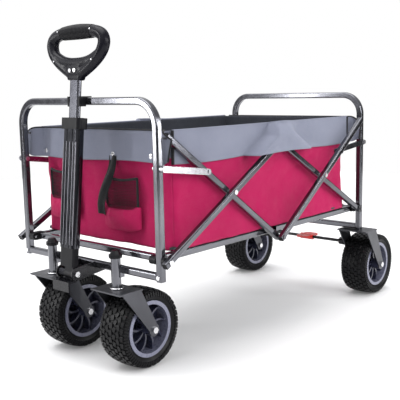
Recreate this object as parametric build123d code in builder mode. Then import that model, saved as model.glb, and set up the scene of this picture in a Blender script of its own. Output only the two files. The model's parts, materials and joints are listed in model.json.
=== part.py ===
from build123d import *
from math import sin, cos, tan, atan2, hypot, degrees, radians
import os

# Beach cart: two upright end frames, a bed that folds upwards in the middle, scissor arms on both
# sides, a sewn tub, swivelling front wheels, fixed rear wheels with a foot brake, and a pull handle.
# Millimetres. +Z is up, -Y is the pulling end, X is across. The origin is on the floor under the
# middle of the overall box.

os.makedirs("parts", exist_ok=True)

# ---------------------------------------------------------------- driving dimensions

# end frames
post_spacing = 906.0          # front post plane to rear post plane
frame_width = 520.0           # outside to outside of the posts
tube = 18.0                   # square frame tube
tube_wall = 1.4
tube_corner = 4.0             # outer corner radius of every square tube
rail_bend = 60.0              # bend radius of the tube's centre line
front_rail_top = 663.0
rear_rail_top = 659.0
front_post_foot = 243.0
rear_post_foot = 222.0
front_cross_lift = 1.5        # lower cross tube above the feet of the posts
rear_cross_lift = 1.0

# wheels
tyre_radius = 99.0
tyre_width = 88.0
rim_radius = 66.0             # seat of the tyre
lip_radius = 70.5
lip_width = 3.0
rim_width = 78.0              # over the two lips
spoke_half_width = 26.0
spoke_count = 9
axle_radius = 5.0
hub_radius = 16.0
wheel_to_leg = 4.0            # tyre side to fork leg

# forks
plate_thickness = 3.5
leg_thickness = 4.0
fork_plate_top = 210.0
fork_half_depth = 37.0        # half of the top plate, along Y
leg_top_half = 30.0
leg_foot_radius = 16.0
wheel_trail = 71.0            # kingpin to front axle
front_track = 244.0           # between the front wheel centres
rear_track = 492.0
rear_trail = 67.0             # rear post to rear axle
kingpin_radius = 6.0
socket_radius = 12.0
socket_height = 71.0
socket_gap = 1.0              # kingpin socket to the cross tube

# bed
pivot_height = 292.0          # bed and lower arm pivots
bed_tube = 18.0
bed_gap = 2.0                 # bed rail to post
bed_end_bar_offset = 20.0     # end bar centre from the post plane
bed_hinge_drop = 12.5         # middle hinge pin below the rail centre
bed_end_clearance = 14.0      # rail end to the middle hinge pin
bed_bar_positions = (30.0, 150.0, 270.0)    # cross bars, measured from the middle of the bed
fold_limit = 75.0             # degrees that each bed half turns

# side arms
arm_tube = 16.0
arm_wall = 1.2
arm_overrun = 9.0             # arm beyond its last pin
front_foot_overrun = 15.0     # lower front arm ahead of its foot pivot
rear_foot_overrun = 5.0       # lower rear arm, short to clear the post
arm_gap = 4.0                 # between the inner and the outer arms
arm_start = 8.0               # outer arm from the outer face of the post
rear_bracket_radius = 10.0    # round the pivots of the rear lower arms
arm_reach = 235.0             # foot pivot to crossing, along Y
arm_angle = 29.4              # lower arms from the horizontal
arm_bottom_height = 277.0     # pin where the upper arms meet
upper_arm_tail = 252.0        # upper arm beyond the crossing
link_height = 503.0           # link pivot on the posts
link_thickness = 5.0
link_depth = 15.0
rivet_radius = 3.0

# handle
handle_hinge_height = 240.0
handle_hinge_offset = 67.0    # hinge pin ahead of the front posts
handle_lean_height = 655.0    # where the tube rests in its clip
handle_lean_offset = 23.0     # tube axis ahead of the front posts at that height
outer_tube_width = 58.0
outer_tube_depth = 24.0
outer_tube_start = 62.0
outer_tube_end = 356.0
inner_tube_width = 34.0
inner_tube_depth = 13.0
inner_tube_start = 150.0
inner_tube_end = 500.0
collar_width = 70.0
collar_depth = 32.0
collar_height = 27.0
collar_overlap = 6.0          # collar below the end of the outer tube
grip_top = 598.0              # along the handle, from the hinge pin
grip_foot = 466.0
grip_width = 224.0
grip_depth = 30.0
grip_rounding = 10.0
hole_half_width = 78.0
neck_half_width = 30.0
knuckle_width = 52.0
hinge_pin_radius = 4.0
knuckle_radius = 13.0

# tub
tub_to_arm = 3.0              # side wall to the inner arms
tub_front = 51.0              # front wall behind the front posts
tub_rear = 66.0               # rear wall ahead of the rear posts
tub_floor_height = 302.0
tub_top = 584.0
tub_wall = 3.0
board_thickness = 5.0
board_gap = 2.0

# brake
brake_ahead = 52.0            # brake rod ahead of the rear axle
brake_height = 172.0
brake_rod_radius = 5.0
pedal_centre = 46.0
pedal_half_width = 24.0
pedal_reach = 36.0

# fits
running = 0.06                # radial gap of a pin in its hole
face_gap = 0.4                # between flat faces that move past each other

# ---------------------------------------------------------------- worked out from them

front_overhang = handle_hinge_offset + 27.0        # front plate of the hinge bracket
rear_overhang = rear_trail + tyre_radius
front_y = (front_overhang - rear_overhang - post_spacing) / 2
rear_y = front_y + post_spacing
middle_y = (front_y + rear_y) / 2
post_x = frame_width / 2 - tube / 2
front_cross_height = front_post_foot + front_cross_lift + tube / 2
rear_cross_height = rear_post_foot + rear_cross_lift + tube / 2
post_inner = frame_width / 2 - tube
outer_arm_x = frame_width / 2 + arm_start + arm_tube / 2
inner_arm_x = outer_arm_x - arm_tube - arm_gap
arm_foot_advance = tube / 2 + rear_bracket_radius
tub_half_width = inner_arm_x - arm_tube / 2 - tub_to_arm
bed_rail_x = post_inner - bed_gap - bed_tube / 2
bed_hinge_height = pivot_height - bed_hinge_drop

socket_offset = tube / 2 + socket_radius + socket_gap
kingpin_y = front_y - socket_offset
front_axle_y = kingpin_y + wheel_trail
rear_axle_y = rear_y + rear_trail
brake_y = rear_axle_y - brake_ahead
leg_inner = tyre_width / 2 + wheel_to_leg

handle_hinge_y = front_y - handle_hinge_offset
handle_lean = degrees(atan2(handle_hinge_offset - handle_lean_offset,
                            handle_lean_height - handle_hinge_height))


# The arms meet in a plane that stays half-way between the two lower pivots. The arms' pivots and
# the turn of each arm between the open and the folded cart follow from the bed's fold.
foot_span = post_spacing - arm_foot_advance
half_span = foot_span / 2
lower_arm_length = half_span / cos(radians(arm_angle))
crossing_dy = arm_reach
crossing_dz = arm_reach * tan(radians(arm_angle))
crossing_length = hypot(crossing_dy, crossing_dz)
crossing_z = pivot_height + crossing_dz
top_pin_z = pivot_height + half_span * tan(radians(arm_angle))
upper_drop = crossing_z - arm_bottom_height
upper_arm_foot = hypot(half_span - arm_reach, upper_drop)
upper_angle = degrees(atan2(upper_drop, half_span - arm_reach))
bed_half = hypot(post_spacing / 2, bed_hinge_drop)
bed_slope = degrees(atan2(bed_hinge_drop, post_spacing / 2))
folded_half = bed_half * cos(radians(fold_limit - bed_slope))
folded_reach = half_span - post_spacing / 2 + folded_half
folded_arm_angle = degrees(atan2((lower_arm_length ** 2 - folded_reach ** 2) ** 0.5, folded_reach))
rest_of_reach = folded_reach * (1 - crossing_length / lower_arm_length)
folded_upper_angle = degrees(atan2((upper_arm_foot ** 2 - rest_of_reach ** 2) ** 0.5, rest_of_reach))


def link_point(post_offset):
    """Distance up the upper arm, from the crossing, where a link of one length reaches the arm in
    both the open and the folded cart. post_offset is the post ahead of the foot pivot."""
    c0 = (crossing_dy + post_offset, crossing_z - link_height)
    c1 = tuple(crossing_length * f(radians(folded_arm_angle)) for f in (cos, sin))
    c1 = (c1[0] + post_offset, c1[1] + pivot_height - link_height)
    u0 = (-cos(radians(upper_angle)), sin(radians(upper_angle)))
    u1 = (-cos(radians(folded_upper_angle)), sin(radians(folded_upper_angle)))
    top = c1[0] ** 2 + c1[1] ** 2 - c0[0] ** 2 - c0[1] ** 2
    return top / (2 * (c0[0] * u0[0] + c0[1] * u0[1] - c1[0] * u1[0] - c1[1] * u1[1]))


front_link_reach = link_point(0.0)
rear_link_reach = link_point(arm_foot_advance)
foot_front = (front_y, pivot_height)
foot_rear = (rear_y - arm_foot_advance, pivot_height)
arms_middle_y = (foot_front[0] + foot_rear[0]) / 2
crossing_front = (foot_front[0] + crossing_dy, crossing_z)
crossing_rear = (foot_rear[0] - crossing_dy, crossing_z)


def along_upper(crossing, side, distance):
    """A point on an upper arm; side is -1 for the front arms and +1 for the rear arms."""
    return (crossing[0] + side * distance * cos(radians(upper_angle)),
            crossing[1] + distance * sin(radians(upper_angle)))


front_link_end = along_upper(crossing_front, -1, front_link_reach)
rear_link_end = along_upper(crossing_rear, 1, rear_link_reach)


def save(piece, name):
    """Label a finished piece and write it."""
    piece.part.label = name
    export_step(piece.part, f"parts/{name}.step")


def side_plane(x):
    """The side view at x: local x is +Y and local y is +Z, looking along +X."""
    return Plane(origin=(x, 0, 0), x_dir=(0, 1, 0), z_dir=(1, 0, 0))


# ---------------------------------------------------------------- end frames

def end_frame(name, y, foot, rail_top, pivot_heights):
    """One bent square tube: a post, the rail over the top and the other post."""
    rail_z = rail_top - tube / 2
    with BuildPart() as frame:
        with BuildLine():
            FilletPolyline((-post_x, y, foot), (-post_x, y, rail_z), (post_x, y, rail_z),
                           (post_x, y, foot), radius=rail_bend)
        with BuildSketch(Plane(origin=(-post_x, y, foot), x_dir=(1, 0, 0), z_dir=(0, 0, 1))):
            RectangleRounded(tube, tube, tube_corner)
            RectangleRounded(tube - 2 * tube_wall, tube - 2 * tube_wall, tube_corner - tube_wall,
                             mode=Mode.SUBTRACT)
        sweep()
        with BuildSketch(Plane.YZ.offset(-frame_width)):
            with Locations(*[(y, z) for z in pivot_heights]):
                Circle(rivet_radius + running)
        extrude(amount=2 * frame_width, mode=Mode.SUBTRACT)
    save(frame, name)


def cross_tube(name, y, z):
    """The straight tube between the posts, low down."""
    with BuildPart() as cross:
        with BuildSketch(Plane.YZ.offset(-post_inner)):
            with Locations((y, z)):
                RectangleRounded(tube - 1, tube - 1, tube_corner)
                RectangleRounded(tube - 1 - 2 * tube_wall, tube - 1 - 2 * tube_wall,
                                 tube_corner - tube_wall, mode=Mode.SUBTRACT)
        extrude(amount=2 * post_inner)
    save(cross, name)


def frame_fasteners(name, y, cross_z, face, foot_pivot, link_start):
    """Pivot bolts and link rivets through the posts, with their sleeves, and the cross tube screws.
    foot_pivot is the bolt's outer end beyond the post and link_start the sleeve under the link."""
    head = 2.5
    with BuildPart() as fasteners:
        for side in (-1, 1):
            inner = post_inner - bed_gap - bed_tube
            with BuildSketch(side_plane(side * inner)):
                with Locations((y, pivot_height)):
                    Circle(rivet_radius)
            extrude(amount=side * (foot_pivot - inner))
            with BuildSketch(side_plane(side * foot_pivot)):
                with Locations((y, pivot_height)):
                    Circle(2 * rivet_radius)
            extrude(amount=side * head)
            link_outer = link_start + link_thickness + face_gap
            with BuildSketch(side_plane(side * (post_inner - head))):
                with Locations((y, link_height)):
                    Circle(rivet_radius)
            extrude(amount=side * (link_outer - post_inner + head))
            for start in (post_inner - head, link_outer):
                with BuildSketch(side_plane(side * start)):
                    with Locations((y, link_height)):
                        Circle(2 * rivet_radius)
                extrude(amount=side * head)
            with BuildSketch(side_plane(side * frame_width / 2)):
                with Locations((y, link_height)):
                    Circle(2 * rivet_radius)
            extrude(amount=side * (link_start - frame_width / 2 - face_gap / 2))
            with BuildSketch(Plane(origin=(side * post_x, y + face * tube / 2, cross_z),
                                   z_dir=(0, face, 0))):
                Circle(5)
            extrude(amount=head)
    save(fasteners, name)


def arm_spacer(x_end, y):
    """Sleeves between the posts and the outer arms."""
    with BuildPart() as spacers:
        for side in (-1, 1):
            with BuildSketch(side_plane(side * frame_width / 2)):
                with Locations((y, pivot_height)):
                    Circle(9)
                    Circle(rivet_radius + running, mode=Mode.SUBTRACT)
            extrude(amount=side * (x_end - frame_width / 2 - face_gap))
    return spacers


front_link_x = outer_arm_x - arm_tube / 2 - arm_gap + 1.0
rear_link_x = frame_width / 2 + 1.5

end_frame("front_frame_tube", front_y, front_post_foot, front_rail_top, (pivot_height, link_height))
end_frame("rear_frame_tube", rear_y, rear_post_foot, rear_rail_top, (pivot_height, link_height))
cross_tube("front_cross_tube", front_y, front_cross_height)
cross_tube("rear_cross_tube", rear_y, rear_cross_height)
frame_fasteners("front_frame_fasteners", front_y, front_cross_height, -1,
                outer_arm_x + arm_tube / 2 + face_gap, front_link_x)
frame_fasteners("rear_frame_fasteners", rear_y, rear_cross_height, 1,
                frame_width / 2, rear_link_x)
save(arm_spacer(outer_arm_x - arm_tube / 2, front_y), "front_arm_spacers")

# ---------------------------------------------------------------- side arms

def arm(name, x, start, end, holes, rivets, head, foot_overrun):
    """A straight square tube in the side view, from start to end, a little longer at both. head is
    how far its own rivets stand out, to the outside if positive."""
    outward = x / abs(x) * head / abs(head)
    length = hypot(end[0] - start[0], end[1] - start[1])
    direction = ((end[0] - start[0]) / length, (end[1] - start[1]) / length)
    foot = (start[0] - foot_overrun * direction[0], start[1] - foot_overrun * direction[1])
    plane = Plane(origin=(x, foot[0], foot[1]), x_dir=(1, 0, 0), z_dir=(0, direction[0], direction[1]))
    with BuildPart() as bar:
        with BuildSketch(plane):
            RectangleRounded(arm_tube, arm_tube, tube_corner - 0.5)
            RectangleRounded(arm_tube - 2 * arm_wall, arm_tube - 2 * arm_wall,
                             tube_corner - 0.5 - arm_wall, mode=Mode.SUBTRACT)
        extrude(amount=foot_overrun + length + arm_overrun)
        with BuildSketch(side_plane(x - arm_tube)):
            with Locations(*holes):
                Circle(rivet_radius + running)
        extrude(amount=2 * arm_tube, mode=Mode.SUBTRACT)
        with BuildSketch(side_plane(x - outward * arm_tube / 2)):
            with Locations(*rivets):
                Circle(rivet_radius)
        extrude(amount=outward * arm_tube)
        with BuildSketch(side_plane(x + outward * arm_tube / 2)):
            with Locations(*rivets):
                Circle(2 * rivet_radius)
        extrude(amount=outward * abs(head))
    save(bar, name)


top_pin = (arms_middle_y, top_pin_z)
bottom_pin = (arms_middle_y, arm_bottom_height)
for side_name, side in (("right", 1), ("left", -1)):
    arm(f"{side_name}_front_lower_arm", side * outer_arm_x, foot_front, top_pin,
        (foot_front, crossing_front), (top_pin,), 2.0, front_foot_overrun)
    arm(f"{side_name}_rear_lower_arm", side * inner_arm_x, foot_rear, top_pin,
        (foot_rear, crossing_rear), (top_pin,), -1.5, rear_foot_overrun)
    arm(f"{side_name}_front_upper_arm", side * inner_arm_x, bottom_pin,
        along_upper(crossing_front, -1, upper_arm_tail), (crossing_front,),
        (bottom_pin, front_link_end), -1.5, arm_overrun)
    arm(f"{side_name}_rear_upper_arm", side * outer_arm_x, bottom_pin,
        along_upper(crossing_rear, 1, upper_arm_tail), (crossing_rear,),
        (bottom_pin, rear_link_end), 2.0, arm_overrun)


def arm_pin(point, inner_end, outer_end):
    """A pin through both arms at a point of the side view, on both sides, with two heads."""
    head = 2.5
    for side in (-1, 1):
        with BuildSketch(side_plane(side * inner_end)) as shank:
            with Locations(point):
                Circle(rivet_radius)
        extrude(shank.sketch, amount=side * (outer_end - inner_end))
        for start in (inner_end - head, outer_end):
            with BuildSketch(side_plane(side * start)) as cap:
                with Locations(point):
                    Circle(2 * rivet_radius)
            extrude(cap.sketch, amount=side * head)


def arm_washer(point):
    """A washer between the two arms."""
    for side in (-1, 1):
        with BuildSketch(side_plane(side * (inner_arm_x + arm_tube / 2 + face_gap))) as washer:
            with Locations(point):
                Circle(7)
        extrude(washer.sketch, amount=side * (arm_gap - 2 * face_gap))


pin_inner = inner_arm_x - arm_tube / 2
pin_outer = outer_arm_x + arm_tube / 2
with BuildPart() as front_arm_pins:
    arm_pin(crossing_front, pin_inner, pin_outer)
    arm_washer(crossing_front)
save(front_arm_pins, "front_arm_pins")
with BuildPart() as rear_arm_pins:
    arm_pin(crossing_rear, pin_inner, pin_outer)
    arm_washer(crossing_rear)
save(rear_arm_pins, "rear_arm_pins")

# ---------------------------------------------------------------- links from the posts to the arms

def links(name, x_start, post_point, arm_point, head):
    """Flat links on both sides, each with a rivet head where it meets its arm."""
    length = hypot(arm_point[0] - post_point[0], arm_point[1] - post_point[1])
    angle = degrees(atan2(arm_point[1] - post_point[1], arm_point[0] - post_point[0]))
    centre = ((arm_point[0] + post_point[0]) / 2, (arm_point[1] + post_point[1]) / 2)
    with BuildPart() as link:
        for side in (-1, 1):
            with BuildSketch(side_plane(side * x_start)):
                with Locations(Location(centre, angle)):
                    SlotCenterToCenter(length, link_depth)
                with Locations(post_point):
                    Circle(rivet_radius + running, mode=Mode.SUBTRACT)
            extrude(amount=side * link_thickness)
            with BuildSketch(side_plane(side * (x_start + link_thickness))):
                with Locations(arm_point):
                    Circle(1.5 * rivet_radius)
            extrude(amount=side * head)
    save(link, name)


links("front_links", front_link_x, (front_y, link_height), front_link_end, 2.0)
links("rear_links", rear_link_x, (rear_y, link_height), rear_link_end, 1.0)

# ---------------------------------------------------------------- rear brackets for the lower arms

with BuildPart() as rear_arm_brackets:
    cheek = 2.4
    for side in (-1, 1):
        for x in (inner_arm_x - arm_tube / 2 - face_gap - cheek, inner_arm_x + arm_tube / 2 + face_gap):
            with BuildSketch(side_plane(side * x)):
                with Locations((rear_y - tube / 2 - 9, pivot_height)):
                    Rectangle(18, 20)
                with Locations(foot_rear):
                    Circle(rear_bracket_radius)
                    Circle(rivet_radius, mode=Mode.SUBTRACT)
            extrude(amount=side * cheek)
        with BuildSketch(side_plane(side * (inner_arm_x - arm_tube / 2 - face_gap - cheek))):
            with Locations(foot_rear):
                Circle(rivet_radius)
        extrude(amount=side * (arm_tube + 2 * face_gap + 2 * cheek + 2))
save(rear_arm_brackets, "rear_arm_brackets")

# ---------------------------------------------------------------- bed

def bed_rails(name, end):
    """The two side rails of one half of the bed; end is -1 for the front half, +1 for the rear."""
    first = middle_y + end * bed_end_clearance
    last = middle_y + end * (post_spacing / 2 - bed_end_bar_offset + bed_tube / 2)
    with BuildPart() as rails:
        with BuildSketch(Plane(origin=(0, first, pivot_height), x_dir=(1, 0, 0), z_dir=(0, end, 0))):
            with Locations((bed_rail_x, 0), (-bed_rail_x, 0)):
                RectangleRounded(bed_tube, bed_tube, tube_corner)
                RectangleRounded(bed_tube - 2 * tube_wall, bed_tube - 2 * tube_wall,
                                 tube_corner - tube_wall, mode=Mode.SUBTRACT)
        extrude(amount=abs(last - first) - bed_tube)
    save(rails, name)


def bed_bars(name, end):
    """The cross bars of one half of the bed and its end bar."""
    inner = bed_rail_x - bed_tube / 2
    places = [middle_y + end * p for p in bed_bar_positions]
    places.append(middle_y + end * (post_spacing / 2 - bed_end_bar_offset))
    with BuildPart() as bars:
        with BuildSketch(Plane.YZ.offset(-inner)):
            with Locations(*[(y, pivot_height) for y in places]):
                RectangleRounded(bed_tube, bed_tube - 2, tube_corner)
                RectangleRounded(bed_tube - 2 * tube_wall, bed_tube - 2 - 2 * tube_wall,
                                 tube_corner - tube_wall, mode=Mode.SUBTRACT)
        extrude(amount=2 * inner)
    save(bars, name)


def bed_brackets(name, end):
    """Corner brackets that turn on the posts, and the leaves of the middle hinge under the rails.
    The front half's leaves are the inner ones."""
    post_plane = middle_y + end * post_spacing / 2
    bar_face = post_plane - end * (bed_end_bar_offset + bed_tube / 2)
    inner = bed_rail_x - bed_tube / 2
    leaf = bed_tube / 2 - face_gap
    leaf_start = inner if end < 0 else bed_rail_x + face_gap / 2
    with BuildPart() as brackets:
        for side in (-1, 1):
            with BuildSketch(side_plane(side * inner)):
                with Locations(((post_plane + bar_face) / 2, pivot_height)):
                    Rectangle(abs(post_plane - bar_face), bed_tube + 2)
                with Locations((post_plane, pivot_height)):
                    Circle(bed_tube / 2 + 1)
                    Circle(rivet_radius + running, mode=Mode.SUBTRACT)
            extrude(amount=side * (bed_tube + bed_gap - face_gap))
            with BuildSketch(side_plane(side * leaf_start)):
                with BuildLine():
                    Polyline((middle_y, bed_hinge_height - 7), (middle_y + end * 44, pivot_height - 12),
                             (middle_y + end * 44, pivot_height - bed_tube / 2),
                             (middle_y, pivot_height - bed_tube / 2),
                             (middle_y, bed_hinge_height - 7))
                make_face()
                with Locations((middle_y, bed_hinge_height)):
                    Circle(7)
                with Locations((middle_y, bed_hinge_height)):
                    Circle(rivet_radius + (running if end > 0 else 0), mode=Mode.SUBTRACT)
            extrude(amount=side * leaf)
    save(brackets, name)


for half, end in (("front", -1), ("rear", 1)):
    bed_rails(f"bed_{half}_rails", end)
    bed_bars(f"bed_{half}_bars", end)
    bed_brackets(f"bed_{half}_brackets", end)

with BuildPart() as bed_hinge_pins:
    for side in (-1, 1):
        with BuildSketch(side_plane(side * (bed_rail_x - bed_tube / 2))):
            with Locations((middle_y, bed_hinge_height)):
                Circle(rivet_radius)
        extrude(amount=side * (bed_tube + 1))
save(bed_hinge_pins, "bed_hinge_pins")

for half, end in (("front", -1), ("rear", 1)):
    far = front_y + tub_front + tub_wall + board_gap if end < 0 else rear_y - tub_rear - tub_wall - board_gap
    near = middle_y + end * board_gap / 2
    with BuildPart() as board:
        with BuildSketch(Plane.XY.offset(tub_floor_height + tub_wall + face_gap)):
            with Locations((0, (near + far) / 2)):
                RectangleRounded(2 * (tub_half_width - tub_wall - board_gap), abs(far - near), 8)
        extrude(amount=board_thickness)
    save(board, f"floor_board_{half}")

# ---------------------------------------------------------------- tub

with BuildPart() as cargo_tub:
    tub_length = post_spacing - tub_front - tub_rear
    tub_y = front_y + tub_front + tub_length / 2
    with BuildSketch(Plane.XY.offset(tub_floor_height)):
        with Locations((0, tub_y)):
            RectangleRounded(2 * tub_half_width, tub_length, 12)
    extrude(amount=tub_top - tub_floor_height)
    with BuildSketch(Plane.XY.offset(tub_floor_height + tub_wall)):
        with Locations((0, tub_y)):
            RectangleRounded(2 * (tub_half_width - tub_wall), tub_length - 2 * tub_wall, 12 - tub_wall)
    extrude(amount=tub_top, mode=Mode.SUBTRACT)
save(cargo_tub, "cargo_tub")

pocket_bottom, pocket_top, pocket_depth = 338.0, 474.0, 16.0
with BuildPart() as mesh_pockets:
    with BuildSketch(Plane(origin=(0, front_y + tub_front - 0.3, 0), x_dir=(1, 0, 0), z_dir=(0, -1, 0))):
        for x, width in ((100, 108), (-165, 60)):
            with Locations((x, (pocket_bottom + pocket_top) / 2)):
                RectangleRounded(width, pocket_top - pocket_bottom, 10)
    extrude(amount=pocket_depth)
save(mesh_pockets, "mesh_pockets")

strap_width, strap_thickness, strap_bottom = 26.0, 2.5, 352.0
with BuildPart() as tub_strap:
    with BuildSketch(Plane(origin=(0, front_y + tub_front - 0.3, 0), x_dir=(1, 0, 0), z_dir=(0, -1, 0))):
        with Locations((24, (strap_bottom + 520) / 2)):
            RectangleRounded(strap_width, 520 - strap_bottom, 2)
    extrude(amount=strap_thickness)
save(tub_strap, "tub_strap")

# ---------------------------------------------------------------- forks and kingpins

def fork_leg(x, plate_y, plate_z, axle_y):
    """One slanted leg, from the underside of the top plate down to the axle."""
    with BuildSketch(side_plane(x)) as outline:
        with BuildLine():
            Polyline((plate_y - leg_top_half, plate_z), (plate_y + leg_top_half, plate_z),
                     (axle_y + leg_foot_radius, tyre_radius), (axle_y - leg_foot_radius, tyre_radius),
                     (plate_y - leg_top_half, plate_z))
        make_face()
        with Locations((axle_y, tyre_radius)):
            Circle(leg_foot_radius)
        with Locations((axle_y, tyre_radius)):
            Circle(axle_radius, mode=Mode.SUBTRACT)
    extrude(outline.sketch, amount=leg_thickness)


def fork_plate(x, y, top):
    """The folded top plate over a wheel."""
    with Locations((x, y, top - plate_thickness / 2)):
        Box(2 * (leg_inner + leg_thickness), 2 * fork_half_depth, plate_thickness)


ring_height = 4.6
for side_name, side in (("right", 1), ("left", -1)):
    x = side * front_track / 2
    with BuildPart() as fork:
        fork_plate(x, kingpin_y, fork_plate_top)
        for leg_x in (x - leg_inner - leg_thickness, x + leg_inner):
            fork_leg(leg_x, kingpin_y, fork_plate_top - 1, front_axle_y)
        with BuildSketch(Plane.XY.offset(fork_plate_top)):
            with Locations((x, kingpin_y)):
                Circle(socket_radius + 3)
        extrude(amount=ring_height)
        with BuildSketch(Plane.XY.offset(fork_plate_top)):
            with Locations((x, kingpin_y)):
                Circle(kingpin_radius)
        extrude(amount=socket_height)
    save(fork, f"front_fork_{side_name}")

with BuildPart() as caster_sockets:
    for side in (-1, 1):
        x = side * front_track / 2
        with BuildSketch(Plane.XY.offset(fork_plate_top + ring_height + face_gap)):
            with Locations((x, kingpin_y)):
                Circle(socket_radius)
        extrude(amount=socket_height)
        with Locations((x, (kingpin_y + front_y - tube / 2 + 0.5) / 2, front_cross_height)):
            Box(30, socket_offset - tube / 2 + 0.5, 28)
        with BuildSketch(Plane.XY.offset(fork_plate_top)):
            with Locations((x, kingpin_y)):
                Circle(kingpin_radius + running)
        extrude(amount=2 * socket_height, mode=Mode.SUBTRACT)
save(caster_sockets, "caster_sockets")

with BuildPart() as caster_caps:
    cap_base = fork_plate_top + ring_height + face_gap + socket_height
    for side in (-1, 1):
        x = side * front_track / 2
        with BuildSketch(Plane.XY.offset(cap_base)):
            with Locations((x, kingpin_y)):
                RegularPolygon(socket_radius + 4, 8)
        extrude(amount=9)
        with BuildSketch(Plane.XY.offset(cap_base + 9)):
            with Locations((x, kingpin_y)):
                RegularPolygon(socket_radius + 1.5, 8)
        extrude(amount=9, taper=25)
save(caster_caps, "caster_caps")

for side_name, side in (("right", 1), ("left", -1)):
    x = side * rear_track / 2
    with BuildPart() as fork:
        fork_plate(x, rear_y, rear_post_foot)
        for leg_x in (x - leg_inner - leg_thickness, x + leg_inner):
            fork_leg(leg_x, rear_y, rear_post_foot - 1, rear_axle_y)
        brake_leg = x - side * (leg_inner + leg_thickness)
        with BuildSketch(side_plane(brake_leg - side)):
            with Locations((brake_y, brake_height)):
                Circle(brake_rod_radius + running)
        extrude(amount=side * (leg_thickness + 2), mode=Mode.SUBTRACT)
    save(fork, f"rear_fork_{side_name}")

# ---------------------------------------------------------------- wheels

def wheel(corner, x, y):
    """A tyre and its rim with curved spokes, turning on the axle at (x, y)."""
    half = rim_width / 2
    face = half - lip_width
    axis_plane = Plane(origin=(x, y, tyre_radius), x_dir=(1, 0, 0), z_dir=(0, 0, 1))
    turn_axis = Axis((x, y, tyre_radius), (1, 0, 0))
    wall = tyre_width / 2
    with BuildPart() as tyre:
        with BuildSketch(axis_plane):
            with BuildLine():
                Polyline((-face, rim_radius + 0.2), (face, rim_radius + 0.2))
                Line((face, rim_radius + 0.2), (face, lip_radius + 1))
                ThreePointArc((face, lip_radius + 1), (wall, tyre_radius - 14), (wall - 5, tyre_radius - 4))
                ThreePointArc((wall - 5, tyre_radius - 4), (0, tyre_radius), (-wall + 5, tyre_radius - 4))
                ThreePointArc((-wall + 5, tyre_radius - 4), (-wall, tyre_radius - 14), (-face, lip_radius + 1))
                Line((-face, lip_radius + 1), (-face, rim_radius + 0.2))
            make_face()
        revolve(axis=turn_axis)
    save(tyre, f"tyre_{corner}")
    barrel = rim_radius - 5
    with BuildSketch() as spoke:
        with BuildLine():
            ThreePointArc((hub_radius - 3, -3), (hub_radius + 22, 9), (barrel + 1, 2))
            Line((barrel + 1, 2), (barrel + 1, 7))
            ThreePointArc((barrel + 1, 7), (hub_radius + 22, 14), (hub_radius - 3, 3))
            Line((hub_radius - 3, 3), (hub_radius - 3, -3))
        make_face()
    with BuildPart() as rim:
        with BuildSketch(axis_plane):
            for side in (-1, 1):
                with BuildLine():
                    Polyline((side * half, barrel), (side * half, lip_radius), (side * face, lip_radius),
                             (side * face, rim_radius), (0, rim_radius), (0, barrel), (side * half, barrel))
                make_face()
        revolve(axis=turn_axis)
        with BuildSketch(side_plane(x - 3)):
            with Locations((y, tyre_radius)):
                Circle(barrel + 1)
        extrude(amount=6)
        with BuildSketch(side_plane(x - leg_inner + 1)):
            with Locations((y, tyre_radius)):
                Circle(hub_radius)
        extrude(amount=2 * (leg_inner - 1))
        with BuildSketch(side_plane(x - spoke_half_width)):
            with Locations((y, tyre_radius)):
                with PolarLocations(0, spoke_count):
                    add(spoke.sketch)
        extrude(amount=2 * spoke_half_width)
        with BuildSketch(side_plane(x - leg_inner)):
            with Locations((y, tyre_radius)):
                Circle(axle_radius + running)
        extrude(amount=2 * leg_inner, mode=Mode.SUBTRACT)
    save(rim, f"rim_{corner}")


def axle_bolts(name, places):
    """Hexagon bolts through both legs of each fork."""
    reach = leg_inner + leg_thickness
    with BuildPart() as bolts:
        for x, y in places:
            with BuildSketch(side_plane(x - reach)):
                with Locations((y, tyre_radius)):
                    Circle(axle_radius)
            extrude(amount=2 * reach)
            for start, amount in ((x + reach, 5.5), (x - reach, -5.5)):
                with BuildSketch(side_plane(start)):
                    with Locations((y, tyre_radius)):
                        RegularPolygon(8.5, 6)
                extrude(amount=amount)
    save(bolts, name)


for side_name, side in (("right", 1), ("left", -1)):
    wheel(f"front_{side_name}", side * front_track / 2, front_axle_y)
    wheel(f"rear_{side_name}", side * rear_track / 2, rear_axle_y)
    axle_bolts(f"front_axle_bolt_{side_name}", ((side * front_track / 2, front_axle_y),))
axle_bolts("rear_axle_bolts", ((rear_track / 2, rear_axle_y), (-rear_track / 2, rear_axle_y)))

# ---------------------------------------------------------------- brake

rod_end = rear_track / 2 - leg_inner - 1.0
with BuildPart() as brake_rod:
    with BuildSketch(side_plane(-rod_end)):
        with Locations((brake_y, brake_height)):
            Circle(brake_rod_radius)
    extrude(amount=2 * rod_end)
    for side in (-1, 1):
        with BuildSketch(side_plane(side * (rod_end - leg_thickness - 18))):
            with Locations((brake_y, brake_height)):
                Circle(12)
        extrude(amount=side * 15)
save(brake_rod, "brake_rod")

with BuildPart() as brake_pedal:
    with BuildSketch(side_plane(pedal_centre - pedal_half_width)):
        with Locations((brake_y, brake_height)):
            Circle(10)
            with Locations((0, 4)):
                Rectangle(2 * pedal_reach, 6)
        with Locations((brake_y, brake_height)):
            Circle(brake_rod_radius + running / 2, mode=Mode.SUBTRACT)
    extrude(amount=2 * pedal_half_width)
    fillet(brake_pedal.edges().filter_by(Axis.Z), 10)
save(brake_pedal, "brake_pedal")

# ---------------------------------------------------------------- handle

handle_axis = Plane(origin=(0, handle_hinge_y, handle_hinge_height), x_dir=(1, 0, 0),
                    z_dir=(0, sin(radians(handle_lean)), cos(radians(handle_lean))))


def tube_section(width, depth, wall):
    """A flat tube's section in the handle's frame."""
    RectangleRounded(width, depth, depth * 0.4)
    RectangleRounded(width - 2 * wall, depth - 2 * wall, depth * 0.4 - wall, mode=Mode.SUBTRACT)


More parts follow.
